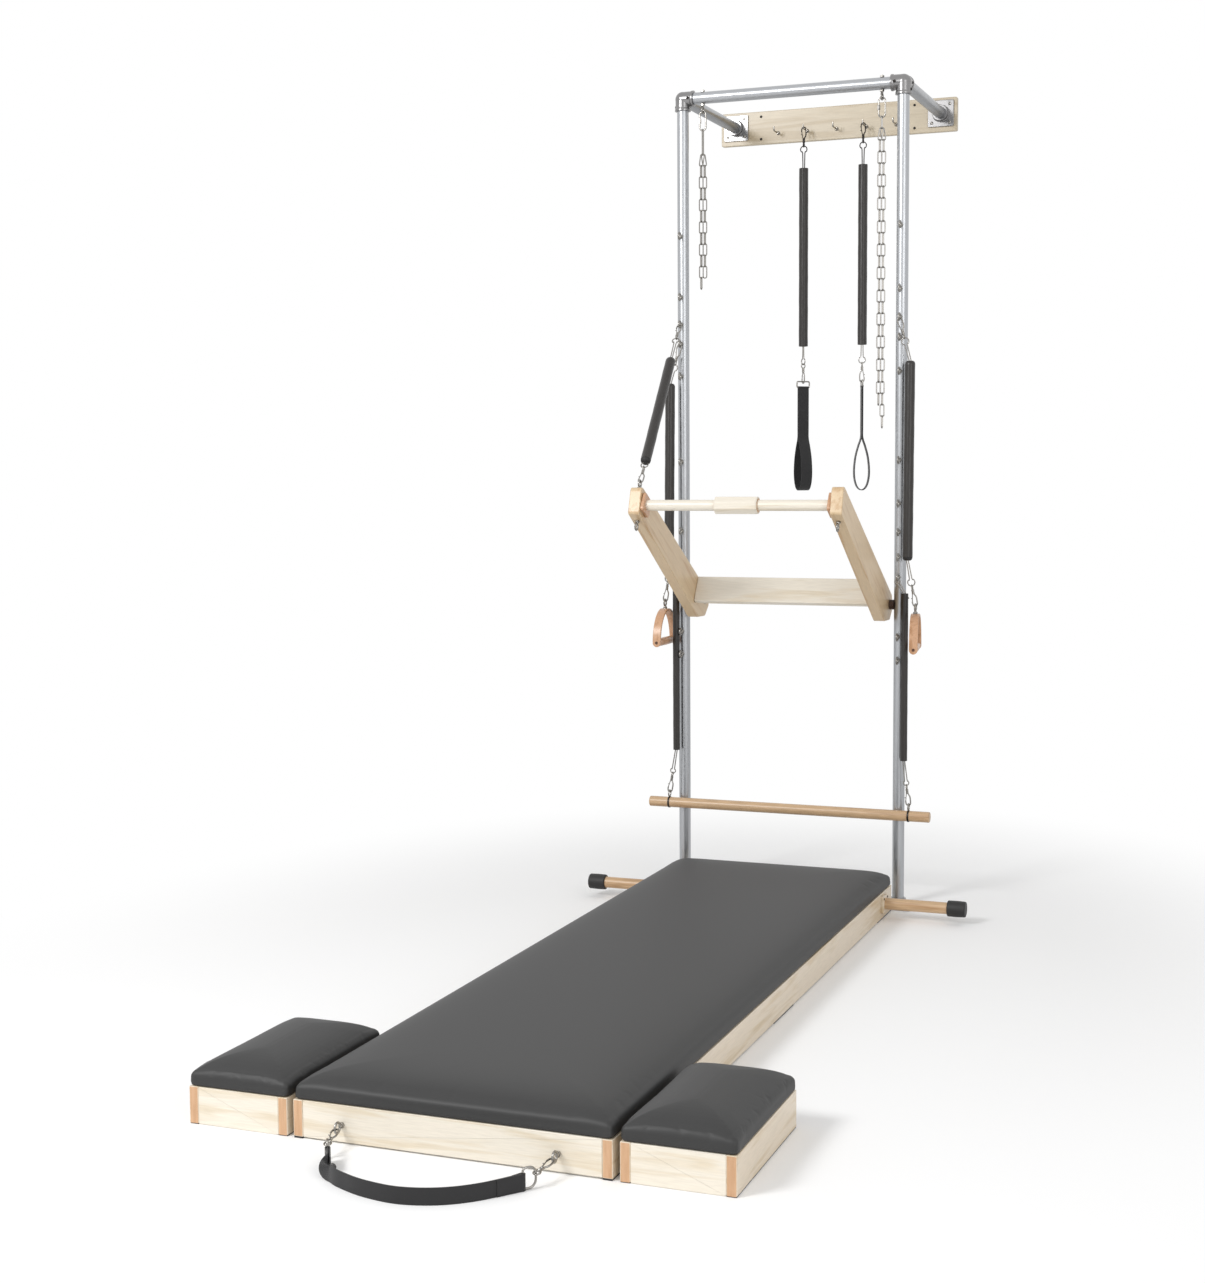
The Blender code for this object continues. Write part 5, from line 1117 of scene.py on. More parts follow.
@dataclass
class Cushion:
    """A foam pad in vinyl, drawn tight over its edges and gathered at the foot of its corners."""

    name: str
    node: str
    body: str
    middle: tuple[float, float]
    width: float
    length: float
    base: float = 0.0738
    height: float = 0.050
    roll: float = 0.013
    corner: float = 0.010
    crown: float = 0.019
    spread: float = 0.042        # how far from the edge most of the crown's rise lies
    drawn: float = 0.12          # how much lower the shoulder is at a corner
    voxel: float = 0.006
    cap: float = 0.004           # how far the swelling may move a point
    fill: float = 0.85

    def outline(self, inset: Array) -> tuple[Array, Array, Array]:
        """The pad's outline, drawn in by an amount for each ring.

        A corner is a quarter circle and a side a straight line with a point every 12 mm.

        Args:
            inset: how far each ring lies inside the outline.

        Returns:
            The points ring by ring, the outward direction of each column, and how near it is to a
            corner, from 0 to 1.
        """
        turn = np.radians(np.linspace(0, 90, 15))
        half = np.array([self.width, self.length]) / 2
        radius = np.maximum(self.corner - 0.3 * inset, 0.004)
        corners, outward = [], []
        for quarter, sign in enumerate(((1, 1), (-1, 1), (-1, -1), (1, -1))):
            angle = turn + quarter * math.pi / 2
            arc = np.stack([np.cos(angle), np.sin(angle)], 1)
            centre = np.array(sign) * (half - inset[:, None] - radius[:, None])
            corners.append(centre[:, None] + radius[:, None, None] * arc)
            outward.append(arc)
        points, ways, near = [], [], []
        for k, corner in enumerate(corners):
            following = corners[(k + 1) % 4]
            run = self.length if k % 2 else self.width
            t = np.linspace(0, 1, max(int(run / 0.012), 8) + 1)[1:-1]
            side = corner[:, -1:] * (1 - t[:, None]) + following[:, :1] * t[:, None]
            points += [corner, side]
            ways += [outward[k], np.broadcast_to(outward[k][-1], (len(t), 2))]
            near += [np.ones(len(turn)), np.clip(1 - run * np.minimum(t, 1 - t) / 0.05, 0, 1)]
        return np.concatenate(points, 1), np.concatenate(ways), np.concatenate(near)

    def form(self) -> Surface:
        """The pad before it swells.

        One parameter runs round the outline. The other goes from under the pad, up its side, over
        the rolled edge and in to the middle, each step an inset and a height. The crown rises by
        1 - exp(-inset / spread). The shoulder dips towards each corner, and cos(12 angle) folds fan
        out of the corner's foot.
        """
        arc = np.linspace(0, math.pi / 2, 9)
        shoulder = self.height - self.crown
        side = [(0.030, 0.0), (0.010, 0.0), (0.0035, 0.0004), (0.0016, 0.0026), (0.0005, 0.0060), (0.0, 0.0100)]
        over = [(self.roll * (1 - math.cos(a)), shoulder - self.roll * (1 - math.sin(a))) for a in arc]
        reach = self.width / 2 - 0.006
        inner = np.append(np.arange(self.roll + 0.006, reach - 0.008, 0.012), reach)
        rise = shoulder + self.crown * (1 - np.exp(-(inner - self.roll) / self.spread))
        steps = np.vstack([side, over, np.stack([inner, rise], 1)])
        flat, ways, near = self.outline(steps[:, 0])
        height = steps[:, 1]
        low = np.clip(1 - height / 0.022, 0, 1) * (steps[:, 0] < 0.012)
        folds = 0.0008 * np.cos(12 * np.arctan2(ways[:, 1], ways[:, 0])) * (near > 0.999)
        flat = flat + (low[:, None] * folds)[..., None] * ways[None]
        dip = 1 - self.drawn * np.exp(-steps[:, :1] / 0.030) * near[None] ** 1.5 * (height[:, None] > 0.009)
        tall = (height[:, None] * dip)[..., None]
        x, y = self.middle
        return skin(np.concatenate([flat, tall], 2) + at(x, y, self.base))

    def swell(self, pad: bpy.types.Object) -> None:
        """Fills the pad by cloth simulation: an even mesh blown up from inside, held by its cap."""
        pad.data.remesh_voxel_size = self.voxel
        bpy.context.view_layer.objects.active = pad
        with bpy.context.temp_override(object=pad, active_object=pad, selected_objects=[pad]):
            bpy.ops.object.voxel_remesh()
        before = np.empty(len(pad.data.vertices) * 3)
        pad.data.vertices.foreach_get("co", before)
        cloth = pad.modifiers.new("swell", "CLOTH")
        cloth.settings.quality = 3
        cloth.settings.use_pressure = True
        cloth.settings.uniform_pressure_force = 4.0
        cloth.settings.effector_weights.gravity = 0.0
        cloth.collision_settings.use_collision = False
        for number in range(1, 21):
            bpy.context.scene.frame_set(number)
        after = np.empty_like(before)
        pad.evaluated_get(bpy.context.evaluated_depsgraph_get()).data.vertices.foreach_get("co", after)
        pad.modifiers.remove(cloth)
        bpy.context.scene.frame_set(1)
        move = (after - before).reshape(-1, 3)
        size = np.linalg.norm(move, axis=1, keepdims=True)
        move *= np.tanh(size / self.cap) * self.cap / np.maximum(size, 1e-9)
        standing = np.clip((before.reshape(-1, 3)[:, 2:] - self.base) / 0.012, 0, 1)
        pad.data.vertices.foreach_set("co", before + (move * standing).ravel())
        log.info("%s swelled by up to %.1f mm", pad.name, 1000 * size.max())

    def build(self) -> None:
        pad = add_piece(self.name, self.form(), VINYL, self.body, [self.node], 180.0)
        self.swell(pad)
        finer = pad.modifiers.new("finer", "SUBSURF")
        finer.levels = finer.render_levels = 1
        pad.data.shade_smooth()


@dataclass
class FloorMat:
    """The long mat: a maple frame on pads, a deck on battens and the cushion."""

    width: float = 0.640
    front: float = MAT_FRONT
    rear: float = -0.084
    plank: float = PLANK
    pad: float = 0.003
    pad_length: float = 0.160
    top: float = FRAME_TOP
    edge: float = PLANK_EDGE
    over: float = OVERHANG
    deck: float = 0.009
    batten: tuple[float, float] = (0.045, 0.018)
    battens: int = 5
    rod: tuple[float, float] = HEAD_ROD
    plate: tuple[float, float, float] = (0.008, 0.050, 0.047)

    def build_rail(self, side: Side) -> None:
        """A rail that runs through, with its end grain, its pads and the plate round the head rod."""
        s, half = side.value, self.width / 2
        low, high = sorted((s * (half - self.plank), s * half))
        rail = board(at(low, self.front, self.pad), at(high, self.rear, self.top), self.edge)
        add_piece(side.word + "_mat_rail_board", rail, MAPLE_RAIL, "tower", ["mat_%s_rail" % side.word])
        grain = [board(at(low + self.edge, y - 0.0002, self.pad + self.edge),
                       at(high - self.edge, y + 0.0002, self.top - self.edge), 0.0001)
                 for y in (self.front, self.rear)]
        add_piece(side.word + "_mat_rail_end_grain", grain, MAPLE_END)
        middle, reach = (self.front + self.rear) / 2, self.pad_length / 2
        pads = [board(at(low + 0.001, y - reach, 0), at(high - 0.001, y + reach, self.pad + 0.0004), 0.0004)
                for y in (self.front + reach, middle, self.rear - reach)]
        add_piece(side.word + "_mat_pads", pads, RUBBER)
        y, z = self.rod
        thick, long, tall = self.plate
        centre = at(s * (half + thick / 2), y, z)
        plate = slab(rectangle(long, tall, 0.004), thick, self.edge, frame_down(centre, centre - X * s))
        add_piece(side.word + "_head_rod_plate", plate, MAPLE_RAIL)
        screws = [screw_head(at(s * (half + thick + 0.0001), y + dy, z + 0.016), X * s, 0.0032)
                  for dy in (-0.019, 0.019)]
        add_piece(side.word + "_head_rod_plate_screws", screws, DARK_STEEL)

    def build(self) -> None:
        """Both rails, the boards between them, the deck and the cushion."""
        for side in Side:
            self.build_rail(side)
        inner = self.width / 2 - self.plank - FIT
        for name, y in (("front", self.front), ("rear", self.rear - self.plank)):
            plank = board(at(-inner, y, self.pad), at(inner, y + self.plank, self.top), self.edge)
            add_piece("mat_%s_plank" % name, plank, MAPLE_FRONT, "tower", ["mat_%s_board" % name])
        low, high = self.front + self.plank + FIT, self.rear - self.plank - FIT
        wide, deep = self.batten
        parts = [board(at(-inner, low, self.top - self.deck), at(inner, high, self.top))]
        for k in range(self.battens):
            y = (low + high) / 2 + (k - (self.battens - 1) / 2) * (high - low) / (self.battens + 1)
            top = self.top - self.deck + 0.0002
            parts.append(board(at(-inner, y - wide / 2, top - deep), at(inner, y + wide / 2, top)))
        add_piece("mat_deck_panel", parts, MAPLE_FRONT, "tower", ["mat_deck"])
        Cushion("mat_pad", "mat_cushion", "tower", (0.0, (self.front + self.rear) / 2), self.width + 2 * self.over,
                self.rear - self.front + 2 * self.over).build()


@dataclass
class SideBox:
    """A small padded box beside the mat's front end, which slides along the floor."""

    side: Side
    width: float = 0.2145
    length: float = 0.376
    middle: float = 0.44025
    front: float = MAT_FRONT
    plank: float = PLANK
    top: float = FRAME_TOP
    edge: float = PLANK_EDGE
    over: float = OVERHANG

    def build(self) -> None:
        """Two long boards with two short ones between them, a top panel and the cushion."""
        word, body = self.side.word, self.side.word + "_box"
        x, half = self.side.value * self.middle, self.width / 2
        rear = self.front + self.length
        spans = [sorted((x + s * (half - self.plank), x + s * half)) for s in (-1, 1)]
        long_boards = [board(at(a, self.front, 0.0020), at(b, rear, self.top), self.edge) for a, b in spans]
        feet = [board(at(a + 0.001, self.front + 0.0004, 0), at(b - 0.001, rear - 0.0004, 0.0023), 0.0003)
                for a, b in spans]
        add_piece(word + "_box_feet", feet, RUBBER, body)
        add_piece(word + "_box_sides", long_boards, MAPLE_RAIL, body, [body + "_frame"])
        inner = half - self.plank
        short = [board(at(x - inner, y, 0.0003), at(x + inner, y + self.plank, self.top - FIT), 0.0014)
                 for y in (self.front, rear - self.plank)]
        short.append(board(at(x - inner, self.front + self.plank, self.top - 0.0093),
                           at(x + inner, rear - self.plank, self.top - FIT), 0.0005))
        add_piece(word + "_box_ends", short, MAPLE_FRONT, body)
        grain = [board(at(x + s * (half - self.plank / 2) - 0.0084, y - 0.0002, self.edge),
                       at(x + s * (half - self.plank / 2) + 0.0084, y + 0.0002, self.top - self.edge), 0.0001)
                 for s in (-1, 1) for y in (self.front, rear)]
        add_piece(word + "_box_end_grain", grain, MAPLE_END, body)
        Cushion(word + "_box_pad", body + "_cushion", body, (x, self.front + self.length / 2),
                self.width + 2 * self.over, self.length + 2 * self.over, height=0.056, crown=0.026,
                voxel=0.004).build()


@dataclass
class HeadRod:
    """The oak rod through the mat's far end, with a rubber cap on each end."""

    place: tuple[float, float] = HEAD_ROD
    radius: float = 0.016
    reach: float = 0.545
    cap_radius: float = 0.0223
    cap_length: float = 0.050
    cap_end: float = 0.004

    def build(self) -> None:
        """The rod and its caps."""
        ends = [at(s * self.reach, *self.place) for s in (-1, 1)]
        add_piece("head_rod_dowel", rod(self.radius, *ends, 0.001), OAK, "tower", ["head_rod"])
        r, long = self.cap_radius, self.cap_length
        outline = [(0, 0), (r - 0.001, 0), (r, -long * 0.5), (r - 0.0006, -long), (self.radius, -long)]
        for side in Side:
            tip = at(side.value * (self.reach + self.cap_end), *self.place)
            cap = turned(eased(outline, 0.004, closed=False), frame_down(tip, tip - X * side.value), 56)
            add_piece(side.word + "_head_rod_cap", cap, RUBBER)


# What moves.


@dataclass
class PushBar:
    """The bar that swings between the poles: two arms, a shelf, a rod with its grip and the bolts."""

    pivot: float = 0.856
    inner: float = 0.258
    thickness: float = 0.032
    outline: tuple[tuple[float, float, float], ...] = (
        (-0.526, 0.342, 0.014), (-0.550, 0.268, 0.010), (-0.058, -0.043, 0.020), (0.006, -0.044, 0.012),
        (0.043, -0.014, 0.012), (0.032, 0.026, 0.008))
    upper_eye: tuple[float, float] = UPPER_EYE
    upper_normal: tuple[float, float] = (0.49277, 0.87015)
    lower_eye: tuple[float, float] = (-0.52712, 1.08907)
    lower_normal: tuple[float, float] = (-0.53432, -0.84529)
    rod: tuple[float, float] = (-0.510, 0.289)
    rod_radius: float = 0.0145
    plate: tuple[float, float] = (0.052, 0.009)
    grip: tuple[float, float] = (0.117, 0.045)
    slope: float = math.radians(31.0)
    shelf_along: float = 0.081
    shelf_across: float = -0.00575
    shelf: tuple[float, float] = (0.0795, 0.018)
    bolt: float = 0.004
    head: tuple[float, float] = (0.0085, 0.006)
    spacer: float = 0.014
    pole: tuple[float, float] = (HALF_TOWER, TUBE_RADIUS)

    def sideways(self, centre: Array, turn: float = 0.0) -> Array:
        """A frame whose X and Y lie in the plane of an arm, turned down at its front."""
        cos, sin = math.cos(turn), math.sin(turn)
        return frame_of(Y * cos - Z * sin, Y * sin + Z * cos, X, centre)

    def build_arm(self, side: Side) -> None:
        """An arm cut from a plank, with its eyebolts and its end plate."""
        s = side.value
        centre = s * (self.inner + self.thickness / 2)
        corners = np.array(self.outline)
        shape = filleted(corners[:, :2], corners[:, 2])
        plank = slab(shape, self.thickness, 0.0025, self.sideways(at(centre, 0, self.pivot)))
        add_piece("push_%s_arm_plank" % side.word, plank, MAPLE_ARM, "push_bar", ["push_%s_arm" % side.word])
        eyes = [(self.lower_eye, self.lower_normal)] + ([(self.upper_eye, self.upper_normal)] if s < 0 else [])
        parts = [part for (y, z), normal in eyes
                 for part in EYEBOLT.surfaces(at(centre, y, z), -np.array([0, *normal]))]
        add_piece("push_%s_arm_eyebolts" % side.word, parts, NICKEL, "push_bar")
        y, z = self.rod
        size, thick = self.plate
        seat = at(s * (self.inner - FIT - thick / 2), y, self.pivot + z)
        plate = slab(rectangle(size, size, 0.008), thick, 0.0016, self.sideways(seat, self.slope))
        add_piece("push_%s_end_plate" % side.word, plate, BEECH, "push_bar")

    def build_rod(self) -> None:
        """The round rod and its eight-sided grip."""
        y, z = self.rod
        reach = self.inner - FIT
        ends = [at(s * reach, y, self.pivot + z) for s in (-1, 1)]
        add_piece("push_rod_dowel", rod(self.rod_radius, *ends, 0.0006), MAPLE_FRONT, "push_bar", ["push_rod"])
        long, wide = self.grip
        angle = (np.arange(8) + 0.5) * math.tau / 8
        corner = wide / 2 / math.cos(math.pi / 8)
        octagon = eased(corner * np.stack([np.cos(angle), np.sin(angle)], 1), 0.0012, steps=4)
        middle = at(0, y, self.pivot + z)
        add_piece("push_grip", slab(octagon, long, 0.0045, self.sideways(middle), 5), MAPLE_FRONT, "push_bar")
        cuts = [slab(octagon * 0.80, 0.0004, 0.0001, self.sideways(middle + X * s * (long / 2 + 0.0001)))
                for s in (-1, 1)]
        add_piece("push_grip_end_grain", cuts, MAPLE_END, "push_bar")

    def build_shelf(self) -> None:
        """The shelf between the arms, square to them."""
        deep, thick = self.shelf
        along = np.array([0, -math.cos(self.slope), math.sin(self.slope)])
        across = np.array([0, math.sin(self.slope), math.cos(self.slope)])
        matrix = frame_of(X, across, along,
                          at(0, 0, self.pivot) + along * self.shelf_along + across * self.shelf_across)
        plank = slab(rectangle(2 * (self.inner - FIT), deep, 0.0035), thick, 0.003, matrix)
        add_piece("push_shelf_plank", plank, MAPLE_FRONT, "push_bar", ["push_shelf"])

    def build_pivot(self, side: Side) -> None:
        """A bolt through an arm and its pole, and the spacer between them."""
        s, (x, tube) = side.value, self.pole
        radius, long = self.head
        ends = [at(s * (self.inner - FIT), 0, self.pivot), at(s * (x + tube + FIT), 0, self.pivot)]
        dome = [(0, 0), (radius * 0.5, 0), (radius, -long * 0.6), (radius, -long), (0, -long)]
        heads = [turned(eased(dome, 0.0015, closed=False), frame_down(spot + way * long, spot), 28)
                 for spot, way in zip(ends, (-X * s, X * s))]
        add_piece(side.word + "_pivot_bolt_heads", heads + [rod(self.bolt, *ends, 0.0002, 20)], NICKEL, "tower",
                  [side.word + "_pivot_bolt"])
        near, far = s * (self.inner + self.thickness + FIT), s * (x - tube + 0.0012)
        spacer = rod(self.spacer, at(near, 0, self.pivot), at(far, 0, self.pivot), 0.001)
        add_piece(side.word + "_pivot_spacer", spacer, SPACER)

    def build(self) -> None:
        """The whole bar."""
        for side in Side:
            self.build_arm(side)
            self.build_pivot(side)
        self.build_rod()
        self.build_shelf()


@dataclass
class Handle:
    """A bent beech bow with a round grip between its ends and a screw eye on top."""

    side: Side
    ring: Array
    turn: float
    half: float = 0.077
    strip: float = 0.0065
    width: float = 0.024
    top: float = -0.017
    grip_height: float = -0.112
    grip_radius: float = 0.012
    pin: float = 0.0045

    def place(self) -> Array:
        """The handle's frame, turned about its eye."""
        cos, sin = math.cos(self.turn), math.sin(self.turn)
        return frame_of(X * cos + Y * sin, Y * cos - X * sin, Z, self.ring)

    def bow(self) -> Surface:
        """The strip along half an ellipse, its legs' ends rounded by narrowing its width."""
        reach = self.half - self.strip / 2
        low = self.grip_height - self.width / 2
        leg = np.stack([np.full(6, reach), low + np.array([0, 0.001, 0.003, 0.006, 0.009, 0.012])], 1)
        turn = np.linspace(0, math.pi, 41)[1:-1]
        rise = self.top - self.strip / 2 - self.grip_height
        arch = np.stack([reach * np.cos(turn), self.grip_height + rise * np.sin(turn)], 1)
        path = np.vstack([leg, arch, leg[::-1] * (-1, 1)])
        below = np.clip((self.grip_height - path[:, 1]) / (self.width / 2), 0, 1)
        widths = np.maximum(np.sqrt(1 - below ** 2), 0.22)
        return sweep(in_plane(path, 0), X, flat_section(self.width, self.strip, 0.0016), widths=widths)

    def build(self) -> None:
        """The bow, the grip, its plugs and the eye."""
        body, place = self.side.word + "_handle", self.place()
        add_piece(body + "_bent_bow", self.bow().moved(place), BEECH, body, [body + "_bow"])
        reach, r = self.half - self.strip - 0.0002, self.grip_radius
        outline = [(0, 0), (r - 0.0012, 0), (r, -reach), (r - 0.0012, -2 * reach), (0, -2 * reach)]
        frame = frame_down(np.array([0, reach, self.grip_height]), np.array([0, 0, self.grip_height]))
        outline = eased(outline, [0, 0.0015, reach * 0.8, 0.0015, 0], closed=False, steps=9)
        add_piece(body + "_turned_grip", turned(outline, frame, 40).moved(place), BEECH, body, [body + "_grip"])
        outer = self.half + 0.0002
        plugs = [rod(self.pin, np.array([0, s * (outer - 0.001), self.grip_height]),
                     np.array([0, s * outer, self.grip_height]), 0.0003, 20).moved(place) for s in (-1, 1)]
        add_piece(body + "_plugs", plugs, BEECH_PLUG, body)
        add_piece(body + "_screw_eye", EYEBOLT.surfaces(self.ring, -Z), NICKEL, body)


@dataclass
class RollBar:
    """The roll-down bar: an oak rod with a thin band and an eye for each of its springs."""

    y: float = EYE_Y
    z: float = 0.262
    radius: float = 0.015
    half: float = 0.4165
    band: float = 0.356
    band_width: float = 0.005
    band_thickness: float = 0.0016
    eye: float = 0.2881

    def build(self) -> None:
        """The rod, its bands and its eyes."""
        r, long = self.radius, 2 * self.half
        outline = eased([(0, 0), (r, 0), (r, -long), (0, -long)], 0.003, closed=False)
        end = at(self.half, self.y, self.z)
        add_piece("roll_bar_dowel", turned(outline, frame_down(end, end - X), 56), OAK, "roll_bar", ["roll_bar"])
        bands, eyes = [], []
        for side in Side:
            x = side.value * self.band
            start = at(x + self.band_width / 2, self.y, self.z)
            thick = self.radius + self.band_thickness
            profile = [(r - 0.0005, 0), (thick - 0.0004, 0), (thick, -0.0004), (thick, 0.0004 - self.band_width),
                       (thick - 0.0004, -self.band_width), (r - 0.0005, -self.band_width)]
            bands.append(turned(profile, frame_down(start, start - X), 56, hollow=True))
            eyes.append(ring(at(x, self.y, self.eye), X, 0.0095, 0.0020))
        add_piece("roll_bar_bands", bands, DARK_STEEL, "roll_bar")
        add_piece("roll_bar_eyes", eyes, NICKEL, "roll_bar")


@dataclass
class StrapLoop:
    """A loop of webbing sewn round a rectangular ring, open below for a hand or a foot."""

    side: Side
    hook: Array
    turn: float
    width: float = 0.038
    thickness: float = 0.0024
    length: float = 0.316
    opening: float = 0.046
    seam: float = 0.150
    wire: float = 0.0022
    ring_height: float = 0.018

    def frame(self) -> Array:
        """The loop's frame: X in the way that it opens, Y across the webbing, hanging from its ring."""
        across = np.array([math.cos(self.turn), math.sin(self.turn), 0.0])
        opens = np.cross(across, Z)
        return frame_of(opens, np.cross(Z, opens), Z, self.hook + Z * (0.0049 - self.ring_height))

    def build(self) -> None:
        """The webbing, its stitches and the ring."""
        body, frame = self.side.word + "_strap", self.frame()
        fold, layer, half = 0.0024, self.thickness / 2 + FIT, self.opening / 2
        low, foot = -self.seam, -self.length
        right = [(fold * math.cos(a), fold * math.sin(a)) for a in np.radians((90, 55, 20, -20, -50))]
        right += [(layer, z) for z in (-0.006, -0.012, -0.025, -0.045, -0.070, -0.100, -0.128, low)]
        right += [(half * 0.18, low - 0.014), (half * 0.45, low - 0.032), (half * 0.82, low - 0.065),
                  (half, low - 0.105), (half * 0.90, foot + 0.030), (half * 0.55, foot + 0.008)]
        flat = smooth(right + [(0.0, foot)] + [(-x, z) for x, z in right[:0:-1]], 5, closed=True)
        strip = sweep(in_plane(flat, 1), Y, flat_section(self.width, self.thickness, 0.0007), closed=True)
        add_piece(body + "_webbing", strip.moved(frame), WEBBING, body, [body + "_loop"])
        face = layer + self.thickness / 2
        edge, stitch, pitch = self.width / 2 - 0.004, 0.0026, 0.0042
        starts = []
        for way in (-1, 1):
            for side in (-1, 1):
                starts += [((way * face, side * edge, z), -Z) for z in np.arange(-0.010, -0.072, -pitch)]
            for z in (-0.011, -0.070):
                starts += [((way * face, y, z), Y) for y in np.arange(-0.014, 0.012, pitch)]
        stitches = [rod(0.0004, np.array(spot), np.array(spot) + run * stitch, 0.0002, 6) for spot, run in starts]
        add_piece(body + "_stitches", [part.moved(frame) for part in stitches], THREAD, body)
        wide = self.width + 2 * self.wire + 0.002
        half, high = wide / 2, self.ring_height
        flat = eased([(-half, 0), (half, 0), (half, high), (-half, high)], 0.005)
        add_piece(body + "_ring", wire(in_plane(flat, 0), X, self.wire, closed=True).moved(frame), NICKEL, body)


@dataclass
class Chain:
    """A doubled chain: a quick link, one longer link and two strands of welded links."""

    side: Side
    hang: Array
    top_length: float
    counts: tuple[int, int]
    length: float = 0.038
    width: float = 0.0145
    wire: float = 0.00175
    locked: float = 0.0006
    spread: float = 0.0048
    offset: float = 0.0020
    quick: tuple[float, float, float] = (0.058, 0.023, 0.0023)

    def link(self, length: float, width: float, radius: float, sides: int = 8) -> Surface:
        """A link hanging from the middle of its top wire: two straight sides and two half circles."""
        r = width / 2 - radius
        drop = length - 2 * radius
        turn = np.radians(np.linspace(0, 180, 9))
        top = np.stack([r * np.cos(turn), r * np.sin(turn) - r], 1)
        low = np.stack([-r * np.cos(turn), r - drop - r * np.sin(turn)], 1)
        return wire(in_plane(np.vstack([top, low]), 1), Y, radius, closed=True, sides=sides)

    def placed(self, link: Surface, spot: Array, spin: float = 0.0, lean: float = 0.0) -> Surface:
        """A link at a spot, spun about the upright and leaning sideways."""
        matrix = np.array(Matrix.Rotation(spin, 4, "Z") @ Matrix.Rotation(lean, 4, "Y"))
        matrix[:3, 3] = spot
        return link.moved(matrix)

    def build(self) -> None:
        """The quick link with its nut, the top link and the strands."""
        long, wide, radius = self.quick
        link, quarter = self.link(self.length, self.width, self.wire), math.pi / 2
        body = self.side.word + "_chain"
        top = self.hang + Z * (radius + self.wire - self.locked - long + 2 * radius)
        parts = [self.placed(self.link(self.top_length, self.width, self.wire), top, quarter)]
        foot = top - Z * (self.top_length - 2 * self.wire)
        overlap = 2 * self.wire - self.locked
        pitch = self.length - 2 * self.wire - overlap
        lean = math.asin(self.spread / pitch)
        for way, count in zip((-1, 1), self.counts):
            start = foot + np.array([0, way * self.offset, overlap])
            parts.append(self.placed(link, start, 0.0, -way * lean))
            spot = start + np.array([way * self.spread, 0, -pitch * math.cos(lean)])
            parts += [self.placed(link, spot - Z * pitch * (k - 1), quarter if k % 2 else 0.0)
                      for k in range(1, count)]
        add_piece(body + "_links", parts, NICKEL, body, [body])
        middle = self.hang + np.array([radius - wide / 2, 0, -(long - 2 * radius) / 2])
        quick = [self.link(long, wide, radius, 12).moved(frame_down(self.hang, self.hang - Z)),
                 nut(middle, Z, 0.0045, 0.013)]
        add_piece(body + "_quick_link", quick, NICKEL, body)


